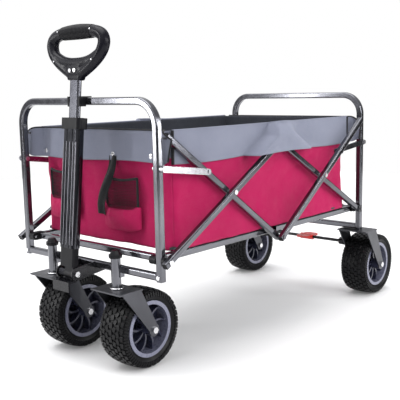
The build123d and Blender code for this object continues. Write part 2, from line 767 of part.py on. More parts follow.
with BuildPart() as handle_outer_tube:
    with BuildSketch(handle_axis.offset(outer_tube_start)):
        tube_section(outer_tube_width, outer_tube_depth, 2.0)
        with Locations((-10, -outer_tube_depth / 2), (10, -outer_tube_depth / 2)):
            Rectangle(5, 2.2, mode=Mode.SUBTRACT)
    extrude(amount=outer_tube_end - outer_tube_start)
save(handle_outer_tube, "handle_outer_tube")

with BuildPart() as handle_inner_tube:
    with BuildSketch(handle_axis.offset(inner_tube_start)):
        tube_section(inner_tube_width, inner_tube_depth, 1.6)
    extrude(amount=inner_tube_end - inner_tube_start)
save(handle_inner_tube, "handle_inner_tube")

with BuildPart() as handle_collar:
    with BuildSketch(handle_axis.offset(outer_tube_end)):
        RectangleRounded(collar_width, collar_depth, 10)
    extrude(amount=collar_height - collar_overlap)
    with BuildSketch(handle_axis.offset(outer_tube_end - collar_overlap)):
        RectangleRounded(collar_width, collar_depth, 10)
        RectangleRounded(outer_tube_width + 0.2, outer_tube_depth + 0.2, outer_tube_depth * 0.4,
                         mode=Mode.SUBTRACT)
    extrude(amount=collar_overlap)
    with BuildSketch(handle_axis.offset(outer_tube_end - collar_overlap)):
        RectangleRounded(inner_tube_width + 0.8, inner_tube_depth + 0.8, inner_tube_depth * 0.4)
    extrude(amount=2 * collar_height, mode=Mode.SUBTRACT)
save(handle_collar, "handle_collar")

with BuildPart() as handle_grip:
    front_of_grip = Plane(origin=handle_axis.from_local_coords((0, grip_depth / 2, 0)), x_dir=(1, 0, 0),
                          z_dir=-handle_axis.y_dir)
    half = grip_width / 2
    with BuildSketch(front_of_grip):
        with BuildLine():
            Spline((0, grip_top), (0.54 * half, grip_top - 5), (0.86 * half, grip_top - 18),
                   (half, grip_top - 38), (0.93 * half, grip_top - 58), (0.72 * half, grip_top - 78),
                   (0.4 * half, grip_top - 98), (0, grip_top - 108), tangents=((1, 0), (-1, 0)))
            Line((0, grip_top - 108), (0, grip_top))
        make_face()
        with BuildLine():
            Spline((0, grip_top - 32), (0.36 * half, grip_top - 31), (hole_half_width - 12, grip_top - 29),
                   (hole_half_width, grip_top - 42), (hole_half_width - 7, grip_top - 57),
                   (0.42 * half, grip_top - 73), (0, grip_top - 79), tangents=((1, 0), (-1, 0)))
            Line((0, grip_top - 79), (0, grip_top - 32))
        make_face(mode=Mode.SUBTRACT)
        mirror(about=Plane.YZ)
    extrude(amount=grip_depth)
    fillet(handle_grip.edges().filter_by(GeomType.BSPLINE), grip_rounding)
    with BuildSketch(handle_axis.offset(grip_foot + 8)):
        RectangleRounded(2 * neck_half_width, grip_depth - 4, 8)
    extrude(amount=grip_top - 86 - grip_foot)
    with BuildSketch(handle_axis.offset(grip_foot)):
        RectangleRounded(2 * neck_half_width - 14, grip_depth - 8, 6)
    extrude(amount=9)
    with BuildSketch(handle_axis.offset(grip_foot - 1)):
        RectangleRounded(inner_tube_width + 0.2, inner_tube_depth + 0.2, inner_tube_depth * 0.4)
    extrude(amount=inner_tube_end - grip_foot + 1.2, mode=Mode.SUBTRACT)
save(handle_grip, "handle_grip")

with BuildPart() as handle_knuckle:
    with BuildSketch(handle_axis.offset(knuckle_radius + 3)):
        RectangleRounded(knuckle_width, outer_tube_depth - 5, 5)
    extrude(amount=outer_tube_start - knuckle_radius - 3)
    with BuildSketch(handle_axis.offset(outer_tube_start)):
        RectangleRounded(outer_tube_width - 4.4, outer_tube_depth - 8.8, 5)
    extrude(amount=40)
    with BuildSketch(side_plane(-4)):
        with Locations((handle_hinge_y, handle_hinge_height)):
            Circle(knuckle_radius)
    extrude(amount=4 + knuckle_width / 2)
    with BuildSketch(handle_axis):
        with Locations((knuckle_width / 4 - 2, 0)):
            Rectangle(knuckle_width / 2 + 4, outer_tube_depth - 5)
    extrude(amount=knuckle_radius + 3)
    with BuildSketch(side_plane(-knuckle_width)):
        with Locations((handle_hinge_y, handle_hinge_height)):
            Circle(hinge_pin_radius + running)
    extrude(amount=2 * knuckle_width, mode=Mode.SUBTRACT)
save(handle_knuckle, "handle_knuckle")

ear_inner = knuckle_width / 2 + 1.5
with BuildPart() as handle_spring:
    wire = 1.6
    with BuildSketch(Plane(origin=(-ear_inner + wire + 0.2, handle_hinge_y - 10, handle_hinge_height),
                           x_dir=(1, 0, 0), z_dir=(0, 0, 1))):
        with Locations(*[(i * (2 * wire + 0.25), 0) for i in range(6)]):
            Circle(wire)
    revolve(axis=Axis((0, handle_hinge_y, handle_hinge_height), (1, 0, 0)))
save(handle_spring, "handle_spring")

# ---------------------------------------------------------------- hinge bracket and rail clip

ear = 3.0
with BuildPart() as handle_bracket:
    cross_bottom = front_cross_height - (tube - 1) / 2
    cross_front = front_y - (tube - 1) / 2
    for side in (-1, 1):
        with BuildSketch(side_plane(side * ear_inner)):
            with BuildLine():
                Polyline((handle_hinge_y, handle_hinge_height - 16), (front_y + 30, cross_bottom - 10),
                         (front_y + 30, cross_bottom), (cross_front, cross_bottom),
                         (cross_front, cross_bottom + 16), (handle_hinge_y, handle_hinge_height + 16),
                         (handle_hinge_y, handle_hinge_height - 16))
            make_face()
            with Locations((handle_hinge_y, handle_hinge_height)):
                Circle(16)
            with Locations((handle_hinge_y, handle_hinge_height)):
                Circle(hinge_pin_radius, mode=Mode.SUBTRACT)
        extrude(amount=side * ear)
    with Locations((0, front_y - 2, cross_bottom - 1.5)):
        Box(2 * ear_inner, 34, 3)
    plate_y = front_y - front_overhang
    shelf_z = handle_hinge_height - 17
    with Locations((0, plate_y + 1.5, shelf_z - 11)):
        Box(2 * (ear_inner + ear), 3, 24)
    with Locations((0, (plate_y + handle_hinge_y) / 2, shelf_z)):
        Box(2 * (ear_inner + ear), handle_hinge_y - plate_y, 4)
save(handle_bracket, "handle_bracket")

with BuildPart() as handle_hinge_pin:
    with BuildSketch(side_plane(-ear_inner - ear)):
        with Locations((handle_hinge_y, handle_hinge_height)):
            Circle(hinge_pin_radius)
    extrude(amount=2 * (ear_inner + ear))
    for side in (-1, 1):
        with BuildSketch(side_plane(side * (ear_inner + ear))):
            with Locations((handle_hinge_y, handle_hinge_height)):
                Circle(7)
        extrude(amount=side * 4)
save(handle_hinge_pin, "handle_hinge_pin")

with BuildPart() as rail_clip:
    clip_height = 24.0
    rail_front = front_y - tube / 2
    top_y = handle_hinge_y + (front_rail_top + 3 - handle_hinge_height) * tan(radians(handle_lean))
    back_front = top_y + inner_tube_depth / 2 / cos(radians(handle_lean)) + face_gap
    clip_z = front_rail_top - tube / 2
    with Locations((0, (back_front + rail_front) / 2, clip_z)):
        Box(inner_tube_width + 12, rail_front - back_front, clip_height)
    cheek_x = inner_tube_width / 2 + face_gap + 2.5
    with Locations((cheek_x, back_front - 7, clip_z), (-cheek_x, back_front - 7, clip_z)):
        Box(5, 14, clip_height)
    with Locations((0, front_y - 1.5, front_rail_top + 1.6)):
        Box(inner_tube_width + 12, tube + 3, 3.0)
save(rail_clip, "rail_clip")

print("front post y", round(front_y, 2), "rear post y", round(rear_y, 2))
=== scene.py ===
# %% [markdown]
# # A folding beach cart
# The cart's steel frame, wheels and handle come as finished solids, and each of them already moves
# with its own body. Here they get their paint, and the soft and the finely shaped pieces are made:
# the sewn tub, its pockets and strap, the tread of the tyres and the hand grip.
# Lengths are in metres. +Z is up, -Y is the end that is pulled.

# %% Load the frame
import json
import math
import bpy
from mathutils import Matrix, Vector, noise


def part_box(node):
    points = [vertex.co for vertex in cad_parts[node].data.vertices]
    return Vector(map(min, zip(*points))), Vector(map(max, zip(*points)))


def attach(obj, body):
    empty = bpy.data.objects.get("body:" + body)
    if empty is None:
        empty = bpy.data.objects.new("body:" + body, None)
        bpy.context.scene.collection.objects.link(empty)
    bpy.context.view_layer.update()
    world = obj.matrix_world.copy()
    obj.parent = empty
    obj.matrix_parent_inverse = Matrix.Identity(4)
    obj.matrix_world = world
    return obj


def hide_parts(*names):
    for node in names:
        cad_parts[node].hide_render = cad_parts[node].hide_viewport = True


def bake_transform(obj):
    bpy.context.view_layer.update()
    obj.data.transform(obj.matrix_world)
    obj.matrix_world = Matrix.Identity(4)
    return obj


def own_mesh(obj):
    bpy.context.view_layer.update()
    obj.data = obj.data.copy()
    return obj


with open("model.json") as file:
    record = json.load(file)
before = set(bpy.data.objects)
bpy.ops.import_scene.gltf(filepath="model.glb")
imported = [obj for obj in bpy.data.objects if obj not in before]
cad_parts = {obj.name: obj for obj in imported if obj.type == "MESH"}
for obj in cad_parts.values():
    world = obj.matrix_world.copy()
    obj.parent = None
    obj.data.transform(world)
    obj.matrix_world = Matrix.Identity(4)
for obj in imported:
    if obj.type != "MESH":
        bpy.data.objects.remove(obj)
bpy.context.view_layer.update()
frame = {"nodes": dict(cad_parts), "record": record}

# %% [markdown]
# ## Camera
# The camera stands at knee height ahead of the cart's right-hand front corner, and looks along the
# cart with a medium long lens, so that both the short and the long side show.

# %% Camera
CAMERA_PLACE = Vector((1.3777, -1.6184, 0.6745))
AZIMUTH, ELEVATION, ROLL = (math.radians(angle) for angle in (41.6135, 8.7002, -1.194))

back = Vector((math.sin(AZIMUTH) * math.cos(ELEVATION), -math.cos(AZIMUTH) * math.cos(ELEVATION),
               math.sin(ELEVATION)))
level = Vector((math.cos(AZIMUTH), math.sin(AZIMUTH), 0))
upright = back.cross(level)
right = level * math.cos(ROLL) + upright * math.sin(ROLL)
up = -level * math.sin(ROLL) + upright * math.cos(ROLL)
bpy.ops.object.camera_add()
camera = bpy.context.object
camera.name = "camera"
camera.data.lens = 64.52
camera.data.sensor_width = 36.0
camera.matrix_world = Matrix.Translation(CAMERA_PLACE) @ Matrix((right, up, back)).transposed().to_4x4()
bpy.context.scene.camera = camera
print("camera", tuple(camera.location), "lens", camera.data.lens)

# %% [markdown]
# ## Studio
# A product shot of dark glossy tubes lives from what they mirror. For mirrored rays the surroundings
# are bright to the front left and above, and dark to the right and below, so that two faces of one
# square tube never have the same tone. Cloth and floor take an even light from all round instead, and
# the camera itself sees plain white. A very wide sun gives the soft shadow under the cart and keeps
# the floor evenly white. Two tall lamps draw narrow highlights along the rounded corners, and a broad
# one lifts the long side.

# %% Floor and surroundings
bpy.ops.mesh.primitive_plane_add(size=7.0, location=(0, 0, -0.0005))
floor = bpy.context.object
floor.name = "studio_floor"

BRIGHT_SIDE = Vector((-0.66, -0.75, 0.0))
LEVELS = ((0.30, 0.05), (0.47, 0.10), (0.54, 0.55), (0.66, 0.95), (0.85, 1.25))     # height, brightness
SIDE_POWER = (("From Min", -0.8), ("From Max", 0.9), ("To Min", 0.35), ("To Max", 1.25))
EVEN_POWER = 0.62

world = bpy.context.scene.world or bpy.data.worlds.new("studio")
bpy.context.scene.world = world
world.use_nodes = True
bpy.context.scene.view_settings.view_transform = "Standard"
sky = world.node_tree.nodes
join_sky = world.node_tree.links.new
seen, lit = sky["Background"], sky.new("ShaderNodeBackground")
seen.inputs["Color"].default_value = (1.0, 1.0, 1.0, 1)
direction = sky.new("ShaderNodeTexCoord").outputs["Generated"]
heights = sky.new("ShaderNodeSeparateXYZ")
join_sky(direction, heights.inputs[0])
height_share = sky.new("ShaderNodeMapRange")
height_share.inputs["From Min"].default_value = -1.0
join_sky(heights.outputs[2], height_share.inputs[0])
shades = sky.new("ShaderNodeValToRGB")
join_sky(height_share.outputs[0], shades.inputs[0])
for i, (place, shade) in enumerate(LEVELS):
    stop = shades.color_ramp.elements[i] if i < 2 else shades.color_ramp.elements.new(place)
    stop.position = place
    stop.color = (shade, shade, shade * 1.03, 1)
join_sky(shades.outputs[0], lit.inputs["Color"])
facing = sky.new("ShaderNodeVectorMath")
facing.operation = "DOT_PRODUCT"
facing.inputs[1].default_value = BRIGHT_SIDE
join_sky(direction, facing.inputs[0])
power = sky.new("ShaderNodeMapRange")
for field, value in SIDE_POWER:
    power.inputs[field].default_value = value
join_sky(facing.outputs["Value"], power.inputs[0])
join_sky(power.outputs[0], lit.inputs["Strength"])
even = sky.new("ShaderNodeBackground")
join_sky(shades.outputs[0], even.inputs["Color"])
even.inputs["Strength"].default_value = EVEN_POWER
ray = sky.new("ShaderNodeLightPath").outputs


def choose(share, first, second):
    """One shader of the surroundings or the other, by the kind of ray."""
    mix = sky.new("ShaderNodeMixShader")
    join_sky(share, mix.inputs[0])
    join_sky(first, mix.inputs[1])
    join_sky(second, mix.inputs[2])
    return mix.outputs[0]


mirrored = choose(ray["Is Glossy Ray"], even.outputs[0], lit.outputs[0])
join_sky(choose(ray["Is Camera Ray"], mirrored, seen.outputs[0]), sky["World Output"].inputs["Surface"])
print("surroundings ready")


# %% Lamps
def aim(light, place, target):
    """Turns a lamp at a place towards a point."""
    light.rotation_euler = (Vector(target) - Vector(place)).to_track_quat("-Z", "Y").to_euler()


def lamp(name, place, target, width, height, watts):
    """An area lamp at a place, turned towards a point."""
    bpy.ops.object.light_add(type="AREA", location=place)
    light = bpy.context.object
    light.name = name
    light.data.shape = "RECTANGLE"
    light.data.size = width
    light.data.size_y = height
    light.data.energy = watts
    aim(light, place, target)


bpy.ops.object.light_add(type="SUN", location=(0, 0, 3))
sun = bpy.context.object
sun.name = "wide_sun"
sun.data.energy = 3.0
sun.data.angle = math.radians(60)
aim(sun, (-0.5, -0.6, 3.0), (0, 0, 0))
lamp("front_lamp", (-1.7, -2.3, 1.1), (0.0, -0.4, 0.35), 0.22, 1.8, 26)
lamp("side_lamp", (2.3, 1.5, 1.0), (0.2, 0.0, 0.4), 0.2, 1.6, 22)
lamp("side_fill", (2.7, -0.4, 1.4), (0.2, 0.0, 0.4), 1.2, 1.2, 44)
print("lamps ready")

# %% [markdown]
# ## Materials
# A finish is one Principled shader whose roughness and height follow a noise pattern at the real
# scale of that finish: orange peel in powder coat, grain in moulded plastic. The patterns read
# Object coordinates, which are metres here because every piece sits at the origin.

# %% Node helpers
def new_material(name):
    """An empty node material, with its shader and its Object coordinates."""
    material = bpy.data.materials.new(name)
    material.use_nodes = True
    nodes = material.node_tree.nodes
    return material, nodes["Principled BSDF"], nodes.new("ShaderNodeTexCoord").outputs["Object"]


def add_node(material, kind, settings=None, **inputs):
    """Adds a node, sets its fields and its inputs; an input may be a number or another socket."""
    node = material.node_tree.nodes.new(kind)
    for field, value in (settings or {}).items():
        setattr(node, field, value)
    for key, value in inputs.items():
        socket = node.inputs[int(key[1:])] if key[0] == "_" and key[1:].isdigit() else node.inputs[key]
        if isinstance(value, bpy.types.NodeSocket):
            material.node_tree.links.new(value, socket)
        else:
            socket.default_value = value
    return node


def noise_value(material, where, scale, detail=3.0):
    """A noise pattern from 0 to 1."""
    return add_node(material, "ShaderNodeTexNoise", Vector=where, Scale=scale, Detail=detail).outputs[0]


def blend_colours(material, share, first, second):
    """A colour between two, by a share from 0 to 1."""
    mix = add_node(material, "ShaderNodeMix", {"data_type": "RGBA"}, _0=share)
    mix.inputs[6].default_value = (*first, 1)
    mix.inputs[7].default_value = (*second, 1)
    return mix.outputs[2]


def spread(material, value, low, high, start=0.3, end=0.7):
    """Stretches a pattern's range start to end onto low to high."""
    return add_node(material, "ShaderNodeMapRange", _0=value, _1=start, _2=end, _3=low, _4=high).outputs[0]


def raise_surface(material, shader, height, distance, strength=1.0):
    """Gives the shader a bump of a real height."""
    bump = add_node(material, "ShaderNodeBump", Height=height, Distance=distance, Strength=strength)
    material.node_tree.links.new(bump.outputs[0], shader.inputs["Normal"])


def hard_finish(name, colour, worn, metallic, smooth, rough, grain, depth, coat=0.0, shine=0.5):
    """Paint, metal or plastic: two close colours in broad patches, roughness from smooth to rough,
    and a fine grain of that many lumps per metre and that depth."""
    material, shader, where = new_material(name)
    link = material.node_tree.links.new
    patches = noise_value(material, where, 9.0, 4.0)
    mottled = blend_colours(material, spread(material, patches, 0, 1), colour, worn)
    link(mottled, shader.inputs["Base Color"])
    scuffs = noise_value(material, where, 60.0, 5.0)
    link(spread(material, scuffs, smooth, rough), shader.inputs["Roughness"])
    raise_surface(material, shader, noise_value(material, where, grain), depth)
    shader.inputs["Metallic"].default_value = metallic
    shader.inputs["Coat Weight"].default_value = coat
    shader.inputs["Coat Roughness"].default_value = 0.08
    shader.inputs["Specular IOR Level"].default_value = shine
    return material


# %% [markdown]
# ### Metals and plastics
# The frame is powder coated in a dark, slightly metallic grey. Plated bolts are bright, the handle's
# outer tube is black and glossy, and the moulded parts are nearly black. One row of the table holds
# one finish, so finishes that should look alike are easy to compare.

# %% Hard finishes
# finish: first colour, second colour, metallic, smoothest, roughest, grain, depth, coat, shine
HARD_FINISHES = {
    "frame_paint": ((0.085, 0.086, 0.098), (0.125, 0.127, 0.142), 0.92, 0.13, 0.23, 900, 1e-5, 0.6),
    "arm_paint": ((0.07, 0.071, 0.083), (0.1, 0.102, 0.116), 0.92, 0.12, 0.22, 900, 1e-5, 0.6),
    "fork_paint": ((0.04, 0.041, 0.048), (0.068, 0.07, 0.08), 0.8, 0.28, 0.42, 1100, 6e-5, 0.3),
    "black_steel": ((0.006, 0.006, 0.008), (0.012, 0.012, 0.015), 0.3, 0.2, 0.34, 1200, 5e-5, 0.1, 0.4),
    "zinc": ((0.78, 0.78, 0.79), (0.62, 0.62, 0.64), 1.0, 0.14, 0.28, 700, 3e-5),
    # paler than tube_alu, the ribs' own metal: a painted highlight on the handle ribs
    "rib_alu_highlight": ((0.17, 0.17, 0.19), (0.2, 0.2, 0.22), 1.0, 0.3, 0.34, 700, 1e-5),
    "link_steel": ((0.42, 0.42, 0.44), (0.3, 0.3, 0.32), 1.0, 0.16, 0.3, 700, 1e-5),
    "bright_alu": ((0.075, 0.076, 0.088), (0.11, 0.112, 0.125), 1.0, 0.2, 0.3, 700, 1e-5),
    "spring_steel": ((0.02, 0.02, 0.025), (0.05, 0.05, 0.055), 0.9, 0.2, 0.35, 700, 3e-5),
    "tube_alu": ((0.018, 0.019, 0.025), (0.03, 0.031, 0.038), 0.9, 0.1, 0.18, 800, 2e-5, 0.5),
    "black_plastic": ((0.004, 0.004, 0.005), (0.009, 0.009, 0.011), 0.0, 0.3, 0.42, 1600, 2e-5, 0.0, 0.15),
    "grip_plastic": ((0.004, 0.004, 0.007), (0.008, 0.008, 0.012), 0.0, 0.22, 0.32, 1400, 1e-5, 0.0, 0.15),
    "red_plastic": ((0.66, 0.018, 0.012), (0.5, 0.014, 0.01), 0.0, 0.22, 0.34, 1200, 4e-5, 0.3),
    "tyre_rubber": ((0.0035, 0.0035, 0.004), (0.008, 0.008, 0.009), 0.0, 0.28, 0.46, 1300, 6e-5, 0.0, 0.15),
    "board": ((0.03, 0.033, 0.038), (0.045, 0.049, 0.055), 0.0, 0.7, 0.9, 1500, 2e-4),
}
finishes = {name: hard_finish(name, *row) for name, row in HARD_FINISHES.items()}
print(len(finishes), "hard finishes")

# %% [markdown]
# ### Two-tone rims
# A rim is one moulding with a pale outer lip. The lip is told from the dish by its distance from
# the axle, so each wheel's material is centred on its own axle by a Mapping node.

# %% Rim finish
LIP_RADII = (0.0595, 0.0615)
DISH_COLOUR = (0.022, 0.024, 0.045)
LIP_COLOUR = (0.15, 0.155, 0.215)


def rim_finish(name, centre):
    """Dark blue-grey plastic with a paler lip, for a wheel turning about X at centre."""
    material, shader, where = new_material(name)
    link = material.node_tree.links.new
    local = add_node(material, "ShaderNodeMapping", Vector=where, Location=-centre).outputs[0]
    flat = add_node(material, "ShaderNodeVectorMath", {"operation": "MULTIPLY"}, _0=local, _1=(0, 1, 1))
    radius = add_node(material, "ShaderNodeVectorMath", {"operation": "LENGTH"}, _0=flat.outputs[0])
    lip = spread(material, radius.outputs["Value"], 0, 1, *LIP_RADII)
    link(blend_colours(material, lip, DISH_COLOUR, LIP_COLOUR), shader.inputs["Base Color"])
    link(spread(material, noise_value(material, where, 80.0), 0.22, 0.36), shader.inputs["Roughness"])
    raise_surface(material, shader, noise_value(material, where, 1200), 0.00005)
    shader.inputs["Coat Weight"].default_value = 0.3
    return material


# %% [markdown]
# ### Woven cloth
# The tub is coated polyester with a plain weave of about one millimetre. Two crossing sine waves
# make the threads: one runs up the wall, the other along it, and X + Y serves the long and the
# short walls alike. Broad noise gives the slightly uneven dye, and sheen the soft edge light.

# %% Cloth finishes
THREAD = 0.0011


def calculate(material, operation, first, second=0.5):
    """The result of a Math node."""
    return add_node(material, "ShaderNodeMath", {"operation": operation}, _0=first, _1=second).outputs[0]


def sine_of(material, value, pitch):
    """A wave from -1 to 1 that repeats every pitch."""
    return calculate(material, "SINE", calculate(material, "MULTIPLY", value, 2 * math.pi / pitch))


def woven_finish(name, colour, faded, pitch, rough, sheen, depth):
    """Plain woven cloth."""
    material, shader, where = new_material(name)
    link = material.node_tree.links.new
    axes = add_node(material, "ShaderNodeSeparateXYZ", _0=where).outputs
    along = calculate(material, "ADD", axes[0], axes[1])
    threads = calculate(material, "MULTIPLY", sine_of(material, along, pitch),
                        sine_of(material, axes[2], pitch))
    patches = calculate(material, "ADD", noise_value(material, where, 7.0, 5.0),
                        spread(material, threads, -0.12, 0.12, -1, 1))
    link(blend_colours(material, spread(material, patches, 0, 1, 0.25, 0.75), colour, faded),
         shader.inputs["Base Color"])
    link(spread(material, noise_value(material, where, 45.0, 4.0), rough - 0.08, rough + 0.1),
         shader.inputs["Roughness"])
    raise_surface(material, shader, threads, depth)
    shader.inputs["Sheen Weight"].default_value = sheen
    shader.inputs["Sheen Roughness"].default_value = 0.4
    shader.inputs["Specular IOR Level"].default_value = 0.22
    return material


# each cloth: first colour, faded colour, pitch of the weave, roughness, sheen, depth
CLOTHS = {
    "crimson_cloth": ((0.47, 0.006, 0.090), (0.37, 0.004, 0.068), THREAD, 0.78, 0.05, 0.00025),
    "slate_cloth": ((0.235, 0.250, 0.320), (0.190, 0.203, 0.265), THREAD, 0.78, 0.12, 0.00025),
    "lining_cloth": ((0.040, 0.044, 0.056), (0.026, 0.029, 0.037), THREAD, 0.78, 0.08, 0.00025),
    "black_webbing": ((0.006, 0.006, 0.007), (0.014, 0.014, 0.016), 0.0018, 0.6, 0.08, 0.0004),
    "black_netting": ((0.006, 0.006, 0.007), (0.012, 0.011, 0.012), 0.0009, 0.6, 0.05, 0.00025),
}
crimson, slate, lining, webbing, netting = (woven_finish(name, *row) for name, row in CLOTHS.items())
print("cloth finishes", list(CLOTHS))

# %% [markdown]
# ### Floor finish
# A pale paper sweep with a faint fibre, so that it takes soft shadows without a pattern of its own.

# %% Paint the studio floor
paper, paper_shader, paper_where = new_material("studio_paper")
paper.node_tree.links.new(
    blend_colours(paper, noise_value(paper, paper_where, 3.0), (0.73, 0.73, 0.73), (0.75, 0.75, 0.75)),
    paper_shader.inputs["Base Color"])
paper_shader.inputs["Roughness"].default_value = 0.9
paper_shader.inputs["Emission Color"].default_value = (1, 1, 1, 1)
paper_shader.inputs["Emission Strength"].default_value = 0.08
floor.data.materials.append(paper)
print("floor covered with", paper.name)

# %% [markdown]
# ## Paint the solids
# Every solid says in the record which finish it takes, so one loop paints them all. Four pieces
# catch more light than their neighbours, and that light is painted in as a brighter finish than the
# record's: a painted highlight. Each rim gets a material of its own, because each needs its own centre.

# %% Give every solid its finish
node_slots = {row["node"]: row["material_slot"] for row in frame["record"]["subparts"]}
# painted highlights: these four pieces take a lighter finish than the record's
PAINTED_HIGHLIGHT_FINISHES = {"caster_sockets": "frame_paint", "front_links": "link_steel", "rear_links": "frame_paint",
            "handle_inner_tube": "bright_alu"}


def middle(node):
    """The centre of a solid's box."""
    low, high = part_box(node)
    return (low + high) / 2


for name, solid in frame["nodes"].items():
    wanted = PAINTED_HIGHLIGHT_FINISHES.get(name, node_slots[name])
    if wanted == "rim_plastic":
        paint = rim_finish(f"{name}_plastic", middle(name))
    else:
        paint = finishes.get(wanted, lining)
    solid.data.materials.clear()
    solid.data.materials.append(paint)
print("painted", len(frame["nodes"]), "solids")

# %% [markdown]
# ## Shaping helpers
# An operator acts on whatever is selected, so each step starts by clearing the selection and then
# picks faces by a test on where they are and where they look.

# %% Selecting and finishing
def clear_selection():
    """Leaves edit mode and selects nothing."""
    if bpy.context.object and bpy.context.object.mode != "OBJECT":
        bpy.ops.object.mode_set(mode="OBJECT")
    bpy.ops.object.select_all(action="DESELECT")


def only(piece):
    """Makes one piece selected and active."""
    clear_selection()
    piece.select_set(True)
    bpy.context.view_layer.objects.active = piece
    return piece


def pick_faces(piece, test):
    """In edit mode, selects the faces whose middle and direction pass the test."""
    only(piece)
    bpy.ops.object.mode_set(mode="EDIT")
    bpy.ops.mesh.select_mode(type="FACE")
    bpy.ops.mesh.select_all(action="DESELECT")
    bpy.ops.object.mode_set(mode="OBJECT")
    for face in piece.data.polygons:
        face.select = test(face.center, face.normal)
    bpy.ops.object.mode_set(mode="EDIT")


def apply_modifier(piece, kind, **settings):
    """Adds a modifier, sets it and applies it."""
    only(piece)
    bpy.ops.object.modifier_add(type=kind)
    modifier = piece.modifiers[-1]
    for field, value in settings.items():
        setattr(modifier, field, value)
    bpy.ops.object.modifier_apply(modifier=modifier.name)


def mirrored(half, centre):
    """A full row of stations across the middle, from the row on one side and the middle one."""
    return [(-x, *rest) for x, *rest in half] + [centre] + half[::-1]


def join(name, pieces):
    """Joins pieces into the first one."""
    clear_selection()
    for piece in pieces:
        piece.select_set(True)
    bpy.context.view_layer.objects.active = pieces[0]
    if len(pieces) > 1:
        bpy.ops.object.join()
    joined = bpy.context.object
    joined.name = name
    return joined


def settle(piece):
    """Puts a piece's place, turn and scale into its mesh, so that its object is at the origin."""
    only(piece)
    bpy.ops.object.transform_apply(location=True, rotation=True, scale=True)
    return piece


def rounded_box(width, depth, height, bevel, segments):
    """A box round the origin with rounded edges."""
    clear_selection()
    bpy.ops.mesh.primitive_cube_add(size=1.0)
    lump = bpy.context.object
    lump.scale = (width, depth, height)
    bpy.ops.object.transform_apply(scale=True)
    apply_modifier(lump, "BEVEL", width=bevel, segments=segments)
    return lump


def hand_over(piece, body, slot, *materials):
    """Gives a finished piece its materials and hangs it on the body that it rides on. The slot is not used.
    """
    settle(piece)
    if materials:
        piece.data.materials.clear()
        for material in materials:
            piece.data.materials.append(material)
    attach(piece, body)
    print(piece.name, len(piece.data.polygons), "faces, on", body)
    return piece


# %% [markdown]
# ## Tyres
# The real tyre is solid rubber with rows of blocks. A plain ring would shine like a pipe, so the
# carcass is a profile spun round the axle, and the tread is one pitch of blocks, modelled once and
# repeated round the wheel by an Array modifier that turns with each copy.

# %% The carcass
PITCHES = 34
RIBS = 68
TREAD_DEPTH = 0.0034
CARCASS_STEPS = 112


def tyre_measures(node):
    """Centre, radius, half width, and the radius of the rim."""
    low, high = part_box(node)
    rim_low, rim_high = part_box(node.replace("tyre", "rim"))
    return (low + high) / 2, (high.z - low.z) / 2, (high.x - low.x) / 2, (rim_high.z - rim_low.z) / 2


def carcass(node):
    """The ring under the tread."""
    centre, radius, wall, lip = tyre_measures(node)
    crown = radius - TREAD_DEPTH
    half = [(wall * 0.8, lip - 0.004), (wall * 0.83, lip + 0.001), (wall * 0.93, lip + 0.006),
            (wall, radius - 0.016), (wall - 0.0015, radius - 0.010), (wall - 0.006, crown - 0.003),
            (wall * 0.5, crown - 0.0006)]
    profile = mirrored(half, (0, crown))
    clear_selection()
    bpy.ops.mesh.primitive_circle_add(vertices=len(profile), radius=1.0, fill_type="NOTHING")
    ring = bpy.context.object
    for point, (x, r) in zip(ring.data.vertices, profile):
        point.co = centre + Vector((x, 0, r))
    ring.matrix_world = Matrix.Identity(4)
    only(ring)
    bpy.ops.object.mode_set(mode="EDIT")
    bpy.ops.mesh.select_mode(type="VERT")
    bpy.ops.mesh.select_all(action="SELECT")
    bpy.ops.mesh.spin(steps=CARCASS_STEPS, angle=2 * math.pi, center=centre, axis=(1, 0, 0))
    bpy.ops.mesh.select_all(action="SELECT")
    bpy.ops.mesh.remove_doubles(threshold=0.00002)
    bpy.ops.mesh.normals_make_consistent(inside=False)
    bpy.ops.object.mode_set(mode="OBJECT")
    bpy.ops.object.shade_smooth_by_angle(angle=math.radians(40))
    return ring


print("tyre radius and half width", [round(v, 4) for v in tyre_measures("tyre_front_right")[1:3]])

# %% [markdown]
# One pitch has a centre block and three rows of smaller blocks on each side, each row a little
# turned and set half a pitch on from its neighbour, so that the grooves between them run crooked.
# Ribs close together go round each shoulder.

# %% The tread
# row: across, round, width, length, slant, drop, lean
ROWS = ((0.0125, 0.5, 0.0100, 0.70, -16, 0.0003, 1), (0.0243, 0.05, 0.0098, 0.74, 12, 0.0010, 4),
        (0.0356, 0.55, 0.0092, 0.70, -7, 0.0026, 10))
BLOCK_HEIGHT = 0.008
BLOCK_BEVEL = 0.0008
CENTRE_WIDTH, CENTRE_LENGTH, CENTRE_SLANT = 0.0115, 0.74, math.radians(10)
SHOULDER_RIB = (0.0064, 0.0052, 0.0125)     # width, length, height
SHOULDER_LEAN = 14


def block(centre, x, radius, turn, width, length, height, slant, lean):
    """One bevelled block standing on the carcass at angle turn round the wheel."""
    lump = rounded_box(width, length, height, BLOCK_BEVEL, 1)
    spot = Matrix.Rotation(turn, 4, "X") @ Matrix.Translation((x, 0, radius - height / 2))
    lump.matrix_world = (Matrix.Translation(centre) @ spot @ Matrix.Rotation(lean, 4, "Y")
                         @ Matrix.Rotation(slant, 4, "Z"))
    return settle(lump)


def round_the_wheel(lump, centre, count):
    """Repeats a mesh round an axle along X."""
    clear_selection()
    bpy.ops.object.empty_add(location=centre)
    pointer = bpy.context.object
    pointer.rotation_euler = (2 * math.pi / count, 0, 0)
    only(lump)
    bpy.context.scene.cursor.location = centre
    bpy.ops.object.origin_set(type="ORIGIN_CURSOR")
    bpy.context.scene.cursor.location = (0, 0, 0)
    bpy.context.view_layer.update()
    apply_modifier(lump, "ARRAY", count=count, use_relative_offset=False, use_object_offset=True,
                   offset_object=pointer)
    bpy.data.objects.remove(pointer)
    return settle(lump)


